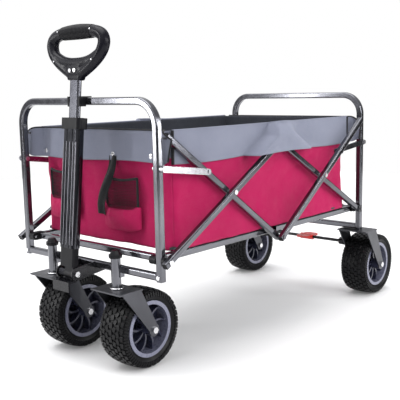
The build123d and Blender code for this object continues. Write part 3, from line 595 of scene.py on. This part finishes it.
def tread(node):
    """Every block and rib of one tyre."""
    centre, radius, wall, _ = tyre_measures(node)
    step = 2 * math.pi / PITCHES
    run = step * radius
    blocks = [block(centre, 0, radius, 0, CENTRE_WIDTH, run * CENTRE_LENGTH, BLOCK_HEIGHT, CENTRE_SLANT, 0)]
    for side in (-1, 1):
        for across, turn, width, length, slant, drop, lean in ROWS:
            blocks.append(block(centre, side * across, radius - drop, step * turn, width, run * length,
                                BLOCK_HEIGHT, math.radians(slant * side), math.radians(lean * side)))
    pitch = join("pitch", blocks)
    ribs = [block(centre, side * (wall - 0.0022), radius - 0.0062, 0, *SHOULDER_RIB, 0,
                  math.radians(-SHOULDER_LEAN * side)) for side in (-1, 1)]
    return [round_the_wheel(pitch, centre, PITCHES), round_the_wheel(join("rib", ribs), centre, RIBS)]


for node in ("tyre_front_right", "tyre_front_left", "tyre_rear_right", "tyre_rear_left"):
    rubber = join(node.replace("tyre", "block_tyre"), [carcass(node)] + tread(node))
    hand_over(rubber, node.replace("tyre", "wheel"), "tyre_rubber", finishes["tyre_rubber"])
    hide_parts(node)

# %% [markdown]
# ## Hand grip
# The grip is a closed loop that swells at the hand and runs into a neck. It is bent from a curve
# with a round section and then fused with the neck by a voxel remesh, which gives the soft blend
# that a moulding has there. A second bent tube fills the lower corners of the loop, so that its hole
# gets the rounded foot of the real one. A ribbed pad covers the hand bar.

# %% The handle's own axes
hinge = middle("handle_hinge_pin")
grip_low, grip_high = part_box("handle_grip")
LEAN = math.atan2((grip_low.y + grip_high.y) / 2 - hinge.y, (grip_low.z + grip_high.z) / 2 - hinge.z)


def on_handle(x, y, z):
    """A point given across, behind and along the handle from its hinge pin."""
    return hinge + Matrix.Rotation(-LEAN, 3, "X") @ Vector((x, y, z))


print("the handle leans by", round(math.degrees(LEAN), 2), "degrees")

# %% Loop and neck
HALF_LOOP = [(0.021, 0.4830, 0.0130), (0.047, 0.4965, 0.0135), (0.0745, 0.5150, 0.0145),
             (0.0935, 0.5370, 0.0150), (0.0985, 0.5600, 0.0150), (0.0835, 0.5765, 0.0150),
             (0.0500, 0.5820, 0.0150)]
HALF_CRADLE = [(0.084, 0.5300, 0.0125), (0.060, 0.5150, 0.0135), (0.034, 0.5080, 0.0140)]
LOOP = mirrored(HALF_LOOP, (0.0, 0.5825, 0.0152))
CRADLE = mirrored(HALF_CRADLE, (0.0, 0.5070, 0.0140))


def tube_along(name, stations, order, steps, sides):
    """A round tube along a smooth curve; a station is a point and a radius."""
    clear_selection()
    bpy.ops.curve.primitive_nurbs_path_add()
    path = bpy.context.object
    path.name = name
    spline = path.data.splines[0]
    spline.points.add(len(stations) - len(spline.points))
    for point, (place, radius) in zip(spline.points, stations):
        point.co = (*place, 1)
        point.radius = radius
    spline.order_u = order
    spline.use_endpoint_u = True
    spline.resolution_u = steps
    path.data.bevel_depth = 1.0
    path.data.bevel_resolution = sides
    path.data.use_fill_caps = True
    path.matrix_world = Matrix.Identity(4)
    bpy.ops.object.convert(target="MESH")
    return bpy.context.object


def bent_tube(name, stations, sides=3):
    """A tube in the handle's own axes; a station is across, along and radius."""
    return tube_along(name, [(on_handle(x, 0, z), radius) for x, z, radius in stations], 4, 6, sides)


def handle_block(x, y, z, width, depth, height, bevel):
    """A rounded block in the handle's own axes."""
    lump = rounded_box(width, depth, height, bevel, 3)
    lump.matrix_world = Matrix.Translation(on_handle(x, y, z)) @ Matrix.Rotation(-LEAN, 4, "X")
    return settle(lump)


loop = join("grip_body", [
    bent_tube("loop", LOOP),
    bent_tube("cradle", CRADLE),
    handle_block(0, 0, 0.4920, 0.060, 0.025, 0.034, 0.009),
    handle_block(0, 0, 0.488, 0.060, 0.025, 0.026, 0.007),
    handle_block(0, 0, 0.4725, 0.047, 0.0215, 0.0125, 0.004),
])
apply_modifier(loop, "REMESH", mode="VOXEL", voxel_size=0.0022)
apply_modifier(loop, "SMOOTH", iterations=4, factor=0.5)
only(loop)
bpy.ops.object.shade_smooth()
hand_over(loop, "handle_upper", "grip_plastic", finishes["grip_plastic"])
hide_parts("handle_grip")

# %% [markdown]
# The pad is a slightly thicker tube over the hand bar. Its ribs come from stations that are thick and
# thin in turn along the curve. Small domes and sunk discs stand for the screws that hold the two
# halves of the moulding together.

# %% Ribbed pad and screws
RIB_COUNT = 23
RIB_DEPTH = 0.0009
PAD_HALF, PAD_HEIGHT, PAD_RADIUS = 0.056, 0.5818, 0.0162
pad_stations = []
for i in range(4 * RIB_COUNT + 1):
    share = i / (4 * RIB_COUNT)
    across = 2 * share - 1
    swell = PAD_RADIUS + 0.0022 * math.sin(math.pi * share)
    pad_stations.append((PAD_HALF * across, PAD_HEIGHT - 0.0016 * across ** 2,
                         swell - (RIB_DEPTH if i % 4 < 2 else 0.0)))
pad = bent_tube("grip_pad", pad_stations, 5)
bpy.ops.object.shade_smooth_by_angle(angle=math.radians(50))
hand_over(pad, "handle_upper", "grip_plastic", finishes["black_plastic"])

SCREW_SPOTS = (-0.0085, 0.0085)
RIVET_SPOTS = ((-0.0600, 0.5830), (0.0600, 0.5830), (-0.0700, 0.5120), (0.0700, 0.5120))
studs = []
for x in SCREW_SPOTS:
    clear_selection()
    bpy.ops.mesh.primitive_cylinder_add(vertices=24, radius=0.0048, depth=0.004)
    stud = bpy.context.object
    pick_faces(stud, lambda centre, normal: normal.z > 0.9)
    bpy.ops.mesh.inset(thickness=0.0022)
    bpy.ops.mesh.extrude_region_move(TRANSFORM_OT_translate={"value": (0, 0, -0.0015)})
    bpy.ops.object.mode_set(mode="OBJECT")
    stud.matrix_world = (Matrix.Translation(on_handle(x, -0.0135, 0.489)) @ Matrix.Rotation(-LEAN, 4, "X")
                         @ Matrix.Rotation(math.pi / 2, 4, "X"))
    studs.append(settle(stud))
for x, z in RIVET_SPOTS:
    clear_selection()
    bpy.ops.mesh.primitive_uv_sphere_add(segments=16, ring_count=8, radius=0.0022,
                                         location=on_handle(x, -0.0155, z))
    studs.append(settle(bpy.context.object))
hand_over(join("grip_screws", studs), "handle_upper", "zinc", finishes["zinc"])

# %% [markdown]
# ## Handle ribs
# The outer handle tube is an extrusion with raised ribs along it, which catch the light as thin
# lines. Each rib is a long box with rounded edges, just proud of the tube's face. The ribs are the
# tube's own metal but take a paler finish, so their bright lines are partly a painted highlight.

# %% Ribs on the outer tube
tube_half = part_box("handle_outer_tube")[1].x
RIB_START, RIB_END = 0.070, 0.320
RIB_SHARES = (-0.80, -0.42, 0.0, 0.42, 0.80)
RIB_FACE = -0.0122
ribs = [handle_block(share * tube_half, RIB_FACE, (RIB_START + RIB_END) / 2, 0.0022, 0.0016,
                     RIB_END - RIB_START, 0.0006) for share in RIB_SHARES]
hand_over(join("handle_ribs", ribs), "handle_lower", "tube_alu", finishes["rib_alu_highlight"])

# %% [markdown]
# ## Plated rings and end plugs
# A plated washer lies where each kingpin leaves its fork, and the open ends of the scissor arms are
# closed with black plastic plugs. A plug follows the arm's own direction, which comes from the box
# round the arm, less what the tube's own thickness adds to it.

# %% Washers round the kingpins
cap_low, cap_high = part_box("caster_caps")
kingpin_x = cap_high.x - (cap_high.y - cap_low.y) / 2
kingpin_y = (cap_low.y + cap_high.y) / 2
socket_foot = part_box("caster_sockets")[0].z
SIDES = ((1, "right"), (-1, "left"))
for side, name in SIDES:
    clear_selection()
    bpy.ops.mesh.primitive_torus_add(major_radius=0.0145, minor_radius=0.0021, major_segments=40,
                                     minor_segments=10,
                                     location=(side * kingpin_x, kingpin_y, socket_foot - 0.0025))
    washer = bpy.context.object
    washer.name = f"kingpin_washer_{name}"
    bpy.ops.object.shade_smooth()
    hand_over(washer, f"caster_{name}", "zinc", finishes["zinc"])

# %% Plugs in the arms
ARM_SIDE = 0.016
PLUG_SIDE, PLUG_LENGTH, PLUG_PROUD = 0.0132, 0.009, 0.0006


def arm_ends(node):
    """The two end centres of an arm and the direction from the first to the second."""
    points = [point.co for point in frame["nodes"][node].data.vertices]
    low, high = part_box(node)
    centre = (low + high) / 2
    rising = sum((point.y - centre.y) * (point.z - centre.z) for point in points) > 0
    reach_y, reach_z = high.y - low.y, high.z - low.z
    slope = math.atan2(reach_z, reach_y)
    for _ in range(8):
        slope = math.atan2(reach_z - ARM_SIDE * math.cos(slope), reach_y - ARM_SIDE * math.sin(slope))
    way = Vector((0, math.cos(slope), math.sin(slope) if rising else -math.sin(slope)))
    half = max((point - centre).dot(way) for point in points)
    return centre - way * half, centre + way * half, way


for end in ("front", "rear"):
    for kind in ("lower", "upper"):
        plugs = []
        for side in ("right", "left"):
            start, stop, way = arm_ends(f"{side}_{end}_{kind}_arm")
            for spot in (start + way * PLUG_LENGTH / 2, stop - way * PLUG_LENGTH / 2):
                plug = rounded_box(PLUG_SIDE, PLUG_SIDE, PLUG_LENGTH + PLUG_PROUD, 0.001, 2)
                turn = way.to_track_quat("Z", "X").to_matrix().to_4x4()
                plug.matrix_world = Matrix.Translation(spot) @ turn
                plugs.append(settle(plug))
        plug_set = join(f"{end}_{kind}_arm_plugs", plugs)
        hand_over(plug_set, f"{end}_{kind}_arms", "black_plastic", finishes["black_plastic"])

# %% [markdown]
# ## The sewn tub
# The tub is sewn from panels and hangs inside the scissor arms. Each panel is made as a grid: one
# direction runs round the cart, the other up the wall. Each point is then placed by a rule that adds
# the slack, the pull towards the corners and fine creases, because a loose wall never hangs as a flat
# plate.

# %% Measures of the tub
tub_low, tub_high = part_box("cargo_tub")
WALL_GAP = 0.0018
HALF = tub_high.x - WALL_GAP
FRONT, REAR = tub_low.y + WALL_GAP, tub_high.y - WALL_GAP
FLOOR, TOP = tub_low.z + 0.001, tub_high.z
BAND_LOW = TOP - 0.077
CORNER = 0.028
WALL_CLOTH = 0.0012
MID_ARMS = (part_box("right_front_lower_arm")[1].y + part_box("right_rear_lower_arm")[0].y) / 2
ENDS = (("front", FRONT, -1, "front_frame"), ("rear", REAR, 1, "rear_frame"))
print("tub", round(2 * HALF, 3), "x", round(REAR - FRONT, 3))
print("band from", round(BAND_LOW, 3), "arms meet at", round(MID_ARMS, 3))


def smooth_step(value, start, end):
    """0 before start, 1 after end and smooth between."""
    share = min(1.0, max(0.0, (value - start) / (end - start)))
    return share * share * (3 - 2 * share)


def ring_point(share):
    """A point of the tub's plan, a rounded rectangle, and its outward direction, going round once
    from the middle of the front wall towards +X."""
    half_y = (REAR - FRONT) / 2
    straight_x, straight_y, bend = HALF - CORNER, half_y - CORNER, math.pi * CORNER / 2
    legs = [("line", straight_x, (0, -half_y), (1, 0)),
            ("turn", bend, (straight_x, -straight_y), -90),
            ("line", 2 * straight_y, (HALF, -straight_y), (0, 1)),
            ("turn", bend, (straight_x, straight_y), 0),
            ("line", 2 * straight_x, (straight_x, half_y), (-1, 0)),
            ("turn", bend, (-straight_x, straight_y), 90),
            ("line", 2 * straight_y, (-HALF, straight_y), (0, -1)),
            ("turn", bend, (-straight_x, -straight_y), 180),
            ("line", straight_x, (-straight_x, -half_y), (1, 0))]
    left = (share % 1.0) * sum(leg[1] for leg in legs)
    for kind, length, start, way in legs:
        if left <= length or (kind, start) == (legs[-1][0], legs[-1][2]):
            break
        left -= length
    if kind == "line":
        place = Vector((start[0] + way[0] * left, start[1] + way[1] * left, 0))
        outward = Vector((way[1], -way[0], 0))
    else:
        angle = math.radians(way) + left / CORNER
        outward = Vector((math.cos(angle), math.sin(angle), 0))
        place = Vector((*start, 0)) + CORNER * outward
    return place + Vector((0, (FRONT + REAR) / 2, 0)), outward


def cloth(name, across, along, place, thickness, outside, inside):
    """A grid of cloth whose points are placed by a rule of two shares from 0 to 1, with thickness."""
    clear_selection()
    bpy.ops.mesh.primitive_grid_add(x_subdivisions=across, y_subdivisions=along, size=1.0)
    sheet = bpy.context.object
    sheet.name = name
    sheet.data.materials.append(outside)
    sheet.data.materials.append(inside)
    for point in sheet.data.vertices:
        point.co = place(point.co.x + 0.5, point.co.y + 0.5)
    apply_modifier(sheet, "SOLIDIFY", thickness=thickness, offset=0.0, use_even_offset=False,
                   material_offset=1, material_offset_rim=0)
    only(sheet)
    bpy.ops.object.shade_smooth()
    return sheet


# %% [markdown]
# Creases are noise stretched along one direction. Slack makes the wall belly between its corners,
# tension makes folds that fan out of the lower corners.

# %% The wall
def crease(x, y, z, size, seed):
    """Smooth noise from about -1 to 1 with lumps of that size."""
    return noise.noise(Vector((x / size, y / size, z / size + seed)))


def wall_place(share, rise):
    """A point of the hung wall."""
    place, outward = ring_point(share)
    z = FLOOR + rise * (TOP - FLOOR)
    near_corner = 1 - smooth_step(min(abs(place.x - s * HALF) + abs(place.y - y) for s in (-1, 1)
                                      for y in (FRONT, REAR)), 0.02, 0.16)
    loose = math.sin(math.pi * min(1.0, rise * 1.15)) if rise < 0.87 else 0.0
    folds = crease(place.x, place.y, z * 0.3, 0.05, 3.0) * near_corner * (1 - 0.6 * rise)
    broad = crease(place.x, place.y, z * 0.8, 0.17, 9.0)
    fine = crease(place.x, place.y, z * 1.7, 0.045, 5.0)
    slanting = crease(place.x + 0.6 * z, place.y - 0.5 * z, z * 0.5, 0.11, 12.0)
    sharp = max(0.0, 1 - 3.2 * abs(slanting)) ** 2
    belly = 0.0050 + 0.0062 * broad + 0.0026 * fine + 0.0034 * sharp
    inwards = 0.0012 + loose * belly + 0.0095 * max(0.0, folds)
    hem = 0.003 * crease(place.x, place.y, 0.0, 0.06, 1.0) * (1 - smooth_step(rise, 0.0, 0.12))
    return Vector((0, 0, z + hem)) + place - outward * max(0.0006, inwards)


print("the front wall bellies in by", round(wall_place(0.0, 0.4).y - ring_point(0.0)[0].y, 4))

# %% [markdown]
# When the cart folds, the two halves of the bed stand up like a tent inside the tub. The long walls
# are pushed together along the cart, and the foot of each end wall is carried outwards and up by the
# bed's edge, so the end walls shrink along a slanting line, towards a point near their upper edge.
# Here each wall and each piece of trim only gets a mesh of its own; nothing makes the cloth fold.

# %% Meshes of their own for the cloth
END_KEEP = {"front": 0.46, "rear": 0.47}


def fold_up(piece):
    """Gives a long wall or its trim a mesh of its own."""
    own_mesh(piece)


def lift_foot(piece, end):
    """Gives an end wall or its trim a mesh of its own."""
    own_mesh(piece)


# %% [markdown]
# The tub is cut at its four corners, where the real one has its seams, so each panel is a piece of its
# own. Above the band's lower edge the cloth is slate like the band.

# %% Four panels
RING_COLUMNS, WALL_ROWS = 420, 44
BAND_LAP = 0.012
straight = (HALF - CORNER, (REAR - FRONT) / 2 - CORNER)
RING = 4 * sum(straight) + 2 * math.pi * CORNER
to_corner = (straight[0] + math.pi * CORNER / 4) / RING
panels = {"front": (-to_corner, to_corner), "right": (to_corner, 0.5 - to_corner),
          "rear": (0.5 - to_corner, 0.5 + to_corner), "left": (0.5 + to_corner, 1 - to_corner)}
for name, (start, stop) in panels.items():
    columns = round((stop - start) * RING_COLUMNS)
    panel = cloth(f"tub_wall_{name}", columns, WALL_ROWS,
                  lambda across, rise: wall_place(start + (stop - start) * across, rise),
                  WALL_CLOTH, crimson, lining)
    panel.data.materials.append(slate)
    for face in panel.data.polygons:
        if face.material_index == 0 and face.center.z > BAND_LOW + BAND_LAP:
            face.material_index = 2
    hand_over(panel, "rear_frame" if name == "rear" else "front_frame", "tub_fabric")
    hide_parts("cargo_tub")
    if name in END_KEEP:
        lift_foot(panel, name)
    else:
        fold_up(panel)

# %% [markdown]
# ### Floor cloth
# The floor lies on two stiff boards, one on each half of the bed. Its cloth goes over the middle
# hinge from one half of the bed to the other; here it is one flat sheet and does not bend.

# %% Floor cloth
SIDE_GAP, END_GAP = 0.006, 0.005
FLOOR_CLOTH = 0.0008
boards_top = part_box("floor_board_front")[1].z
bed_pin = middle("bed_hinge_pins")


def floor_place(across, along):
    """A point of the cloth on the boards."""
    x = (2 * across - 1) * (HALF - SIDE_GAP)
    y = FRONT + END_GAP + along * (REAR - FRONT - 2 * END_GAP)
    lift = 0.0008 + 0.0003 * crease(x, y, 0, 0.09, 2.0) + 0.0010 * max(0.0, crease(x, y, 0, 0.24, 7.0))
    return Vector((x, y, boards_top + 0.0006 + lift))


floor_cloth = cloth("floor_cloth", 60, 110, floor_place, FLOOR_CLOTH, lining, lining)
settle(floor_cloth)
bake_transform(floor_cloth)
print(floor_cloth.name, "bends over the middle hinge at", round(bed_pin.y, 3))

# %% [markdown]
# ### The grey band
# A second strip of cloth goes round the top. On the long sides it lies on the wall, but in the
# middle it stands out over the joint of the scissor arms like a small tent. At the ends of the cart
# it is a flap that is wider than the wall and covers the tips of the upper arms.

# %% Side bands
ARM_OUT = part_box("right_front_lower_arm")[1].x + 0.004
JOINT_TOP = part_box("right_front_lower_arm")[1].z
BAND_CLOTH = 0.0014
JOINT_REACH = 0.034         # half the width of the arms' joint
ARM_SLOPE = 1.775           # along the cart for each metre down an arm


def side_band_place(side):
    """The rule for one long side."""
    def place(along, rise):
        z = BAND_LOW - 0.004 * math.sin(along * 9.0) * (1 - rise) + rise * (TOP + 0.0015 - BAND_LOW)
        y = FRONT + 0.002 + along * (REAR - FRONT - 0.004)
        if z > JOINT_TOP:
            reach = JOINT_REACH - 0.026 * (z - JOINT_TOP) / (TOP - JOINT_TOP)
        else:
            reach = JOINT_REACH + (JOINT_TOP - z) * ARM_SLOPE
        fall = 0.085 + 0.03 * smooth_step(z, JOINT_TOP, TOP)
        tent = smooth_step(y, MID_ARMS - reach - 0.011, MID_ARMS - reach) * (
            1 - smooth_step(y, MID_ARMS + reach - 0.004, MID_ARMS + reach + fall))
        tent *= 1 - 0.38 * smooth_step(z, 0.553, TOP)
        slack = 0.0024 * crease(y, z * 0.6, 0, 0.08, 4.0) + tent * 0.003 * crease(y, z * 2, 0, 0.035, 6.0)
        x = HALF + 0.0016 + max(-0.0008, slack) + tent * (ARM_OUT - HALF - 0.0012)
        return Vector((side * x, y, z + 0.006 * tent * smooth_step(rise, 0.5, 1.0)))
    return place


for side, name in SIDES:
    band = cloth(f"side_band_{name}", 260, 26, side_band_place(side), BAND_CLOTH, slate, slate)
    hand_over(band, "front_frame", "tub_fabric")
    fold_up(band)

# %% End flaps
FLAP_HALF = 0.276
TIP_DEPTH = 0.030


def flap_edges(x):
    """Lower and upper edge of an end flap at a distance from the middle."""
    out = smooth_step(abs(x), HALF - 0.004, FLAP_HALF)
    return BAND_LOW + 0.003 * math.sin(x * 14) + 0.014 * out, TOP + 0.001 - 0.017 * out


def flap_place(wall_y, way):
    """The rule for the flap on the front or the rear wall; way is -1 at the front and 1 at the rear."""
    def place(across, rise):
        x = (2 * across - 1) * (FLAP_HALF - 0.010 * (1 - rise) * abs(2 * across - 1) ** 6)
        low, high = flap_edges(x)
        z = low + rise * (high - low)
        forward = 0.0022 + 0.003 * (1 - rise) + TIP_DEPTH * smooth_step(abs(x), 0.222, 0.252)
        slack = 0.0030 * crease(x, z * 0.6, 0, 0.07, 8.0) * math.sin(math.pi * (1 - rise) * 0.9)
        return Vector((x, wall_y + way * (forward + abs(slack)), z))
    return place


for name, wall_y, way, body in ENDS:
    flap = cloth(f"{name}_flap", 150, 20, flap_place(wall_y, way), BAND_CLOTH, slate, slate)
    hand_over(flap, body, "tub_fabric")

# %% [markdown]
# ### Binding
# The flaps' cut edges are bound in black tape, and black piping covers the seams at the ends of the
# side bands, whose upper edge is only turned over. A thin round bead along the edge reads as that
# tape: the bead follows the same rules as the cloth, so it can't leave the edge.

# %% Black binding
BEAD = 0.0021


def bead(name, points, radius=BEAD):
    """A thin round bead through points."""
    line = tube_along(name, [(point, radius) for point in points], 3, 2, 2)
    bpy.ops.object.shade_smooth()
    return line


def edge_points(place, start, end, count):
    """Points of a cloth rule between two pairs of shares."""
    return [place(start[0] + (end[0] - start[0]) * i / count, start[1] + (end[1] - start[1]) * i / count)
            for i in range(count + 1)]


def three_edges(place, inset, sides, top):
    """Points up one side of a cloth rule, along its upper edge and down the other side."""
    return (edge_points(place, (0, 0), (0, 1), sides)
            + edge_points(place, (inset, 1), (1 - inset, 1), top)
            + edge_points(place, (1, 1), (1, 0), sides))


for name, wall_y, way, body in ENDS:
    rim = three_edges(flap_place(wall_y, way), 0.005, 8, 90)
    hand_over(bead(f"{name}_flap_binding", rim), body, "strap_web", webbing)
for side, name in SIDES:
    rule = side_band_place(side)
    binding = bead(f"side_binding_{name}", edge_points(rule, (0, 1), (1, 1), 130), 0.0016)
    hand_over(binding, "front_frame", "strap_web", slate)
    fold_up(binding)
    ends = [bead("end", edge_points(rule, (along, 0), (along, 1), 16), 0.0038) for along in (0.0, 1.0)]
    piping = hand_over(join(f"side_piping_{name}", ends), "front_frame", "strap_web", webbing)
    fold_up(piping)

# %% [markdown]
# ### Snaps
# Three domed snaps hold the front flap's lower edge. Each is a disc with a raised ring and a dome,
# from a flattened sphere and a torus.

# %% Snaps on the front flap
SNAP_SPOTS = (-0.222, 0.049, 0.182)
snaps = []
front_rule = flap_place(FRONT, -1)
for x in SNAP_SPOTS:
    across = (x / FLAP_HALF + 1) / 2
    spot = front_rule(across, 0.20) + Vector((0, -0.0012, 0))
    clear_selection()
    bpy.ops.mesh.primitive_torus_add(major_radius=0.0048, minor_radius=0.0013, major_segments=28,
                                     minor_segments=8, location=spot, rotation=(math.pi / 2, 0, 0))
    ring = settle(bpy.context.object)
    clear_selection()
    bpy.ops.mesh.primitive_uv_sphere_add(segments=24, ring_count=12, radius=0.0046, location=spot)
    dome = bpy.context.object
    dome.scale = (1, 0.42, 1)
    snaps += [ring, settle(dome)]
snap_set = join("flap_snaps", snaps)
bpy.ops.object.shade_smooth()
hand_over(snap_set, "front_frame", "zinc", finishes["zinc"])

# %% [markdown]
# ### Pockets
# Each pocket has a net front, black tape round the net and a crimson pouch below that bulges. The
# net is real geometry: a grid turned into a lattice by the Wireframe modifier.

# %% Net pockets with a pouch
NET_DEPTH = 0.016
NET_PITCH = 0.0042
NET_THREAD = 0.0014
POUCH_DEPTH = 0.021


def pocket(name, left, right, low, high, pouch_low):
    """One pocket on the front wall."""
    def bulge(across, rise):
        return math.sin(math.pi * across) ** 0.6 * (0.45 + 0.55 * (1 - rise)) if 0 < across < 1 else 0.0

    def net_place(across, rise):
        x = left + across * (right - left)
        z = low + rise * (high - low) - 0.006 * math.sin(math.pi * across) * rise
        return Vector((x, FRONT - 0.003 - NET_DEPTH * bulge(across, rise), z))

    clear_selection()
    columns, rows = int((right - left) / NET_PITCH), int((high - low) / NET_PITCH)
    bpy.ops.mesh.primitive_grid_add(x_subdivisions=columns, y_subdivisions=rows, size=1.0)
    net = bpy.context.object
    net.name = f"{name}_net"
    for point in net.data.vertices:
        shift = 0.5 / columns if int(round((point.co.y + 0.5) * rows)) % 2 else 0.0
        point.co = net_place(min(1.0, point.co.x + 0.5 + shift), point.co.y + 0.5)
    apply_modifier(net, "WIREFRAME", thickness=NET_THREAD, use_even_offset=False)
    hand_over(net, "front_frame", "mesh", netting)
    lift_foot(net, "front")

    def pouch_place(across, rise):
        x = left - 0.010 + across * (right - left + 0.020)
        z = pouch_low + rise * (low + 0.006 - pouch_low) + 0.010 * (2 * across - 1) ** 4 * (1 - rise)
        full = math.sin(math.pi * across) ** 0.7 * math.sin(math.pi * (0.08 + 0.80 * rise)) ** 0.8
        fold = 0.0045 * crease(x * 1.4, z, 0, 0.024, 2.0)
        return Vector((x, FRONT - 0.0022 - POUCH_DEPTH * full - max(0.0, fold) * full, z))

    pouch = cloth(f"{name}_pouch", 44, 30, pouch_place, WALL_CLOTH, crimson, crimson)
    hand_over(pouch, "front_frame", "tub_fabric")
    lift_foot(pouch, "front")
    frame_line = three_edges(net_place, 0.02, 10, 16)
    tape = hand_over(bead(f"{name}_tape", frame_line, 0.0030), "front_frame", "strap_web", webbing)
    lift_foot(tape, "front")
    return net


right_net = pocket("right_pocket", 0.018, 0.130, 0.392, 0.468, 0.336)
left_net = pocket("left_pocket", -0.205, -0.100, 0.398, 0.474, 0.344)
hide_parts("mesh_pockets")
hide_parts("mesh_pockets")

# %% [markdown]
# ### Strap
# A length of black webbing hangs from the flap and drops to the left. It is a ribbon: a grid whose
# rule walks along a bent line and gives the width across it.

# %% The hanging strap
STRAP_WIDTH, STRAP_LENGTH, STRAP_CLOTH = 0.026, 0.17, 0.0018
STRAP_LINE = [(0.049, -0.006, 0.520), (0.049, -0.011, 0.496), (0.047, -0.021, 0.470),
              (0.038, -0.027, 0.444), (0.026, -0.026, 0.420), (0.016, -0.021, 0.397),
              (0.012, -0.015, 0.372)]


def along_line(points, share):
    """A point on a smooth line through points, and the direction there."""
    place = min(share, 0.9999) * (len(points) - 1)
    i = int(place)
    start, end = Vector(points[i]), Vector(points[i + 1])
    before = Vector(points[max(i - 1, 0)])
    after = Vector(points[min(i + 2, len(points) - 1)])
    t = place - i
    spot = 0.5 * ((2 * start) + (end - before) * t + (2 * before - 5 * start + 4 * end - after) * t * t
                  + (3 * start - before - 3 * end + after) * t ** 3)
    return spot, (end - start).normalized()


def strap_place(across, along):
    """A point of the ribbon."""
    spot, way = along_line(STRAP_LINE, along)
    side_way = Vector((-way.z, 0, way.x)).normalized()
    curl = 0.003 * math.sin(across * math.pi * 2 + along * 4)
    return spot + side_way * (across - 0.5) * STRAP_WIDTH + Vector((0, FRONT + curl, 0))


strap = cloth("hanging_strap", 8, 60, strap_place, STRAP_CLOTH, webbing, webbing)
hand_over(strap, "front_frame", "strap_web")
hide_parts("tub_strap")
lift_foot(strap, "front")
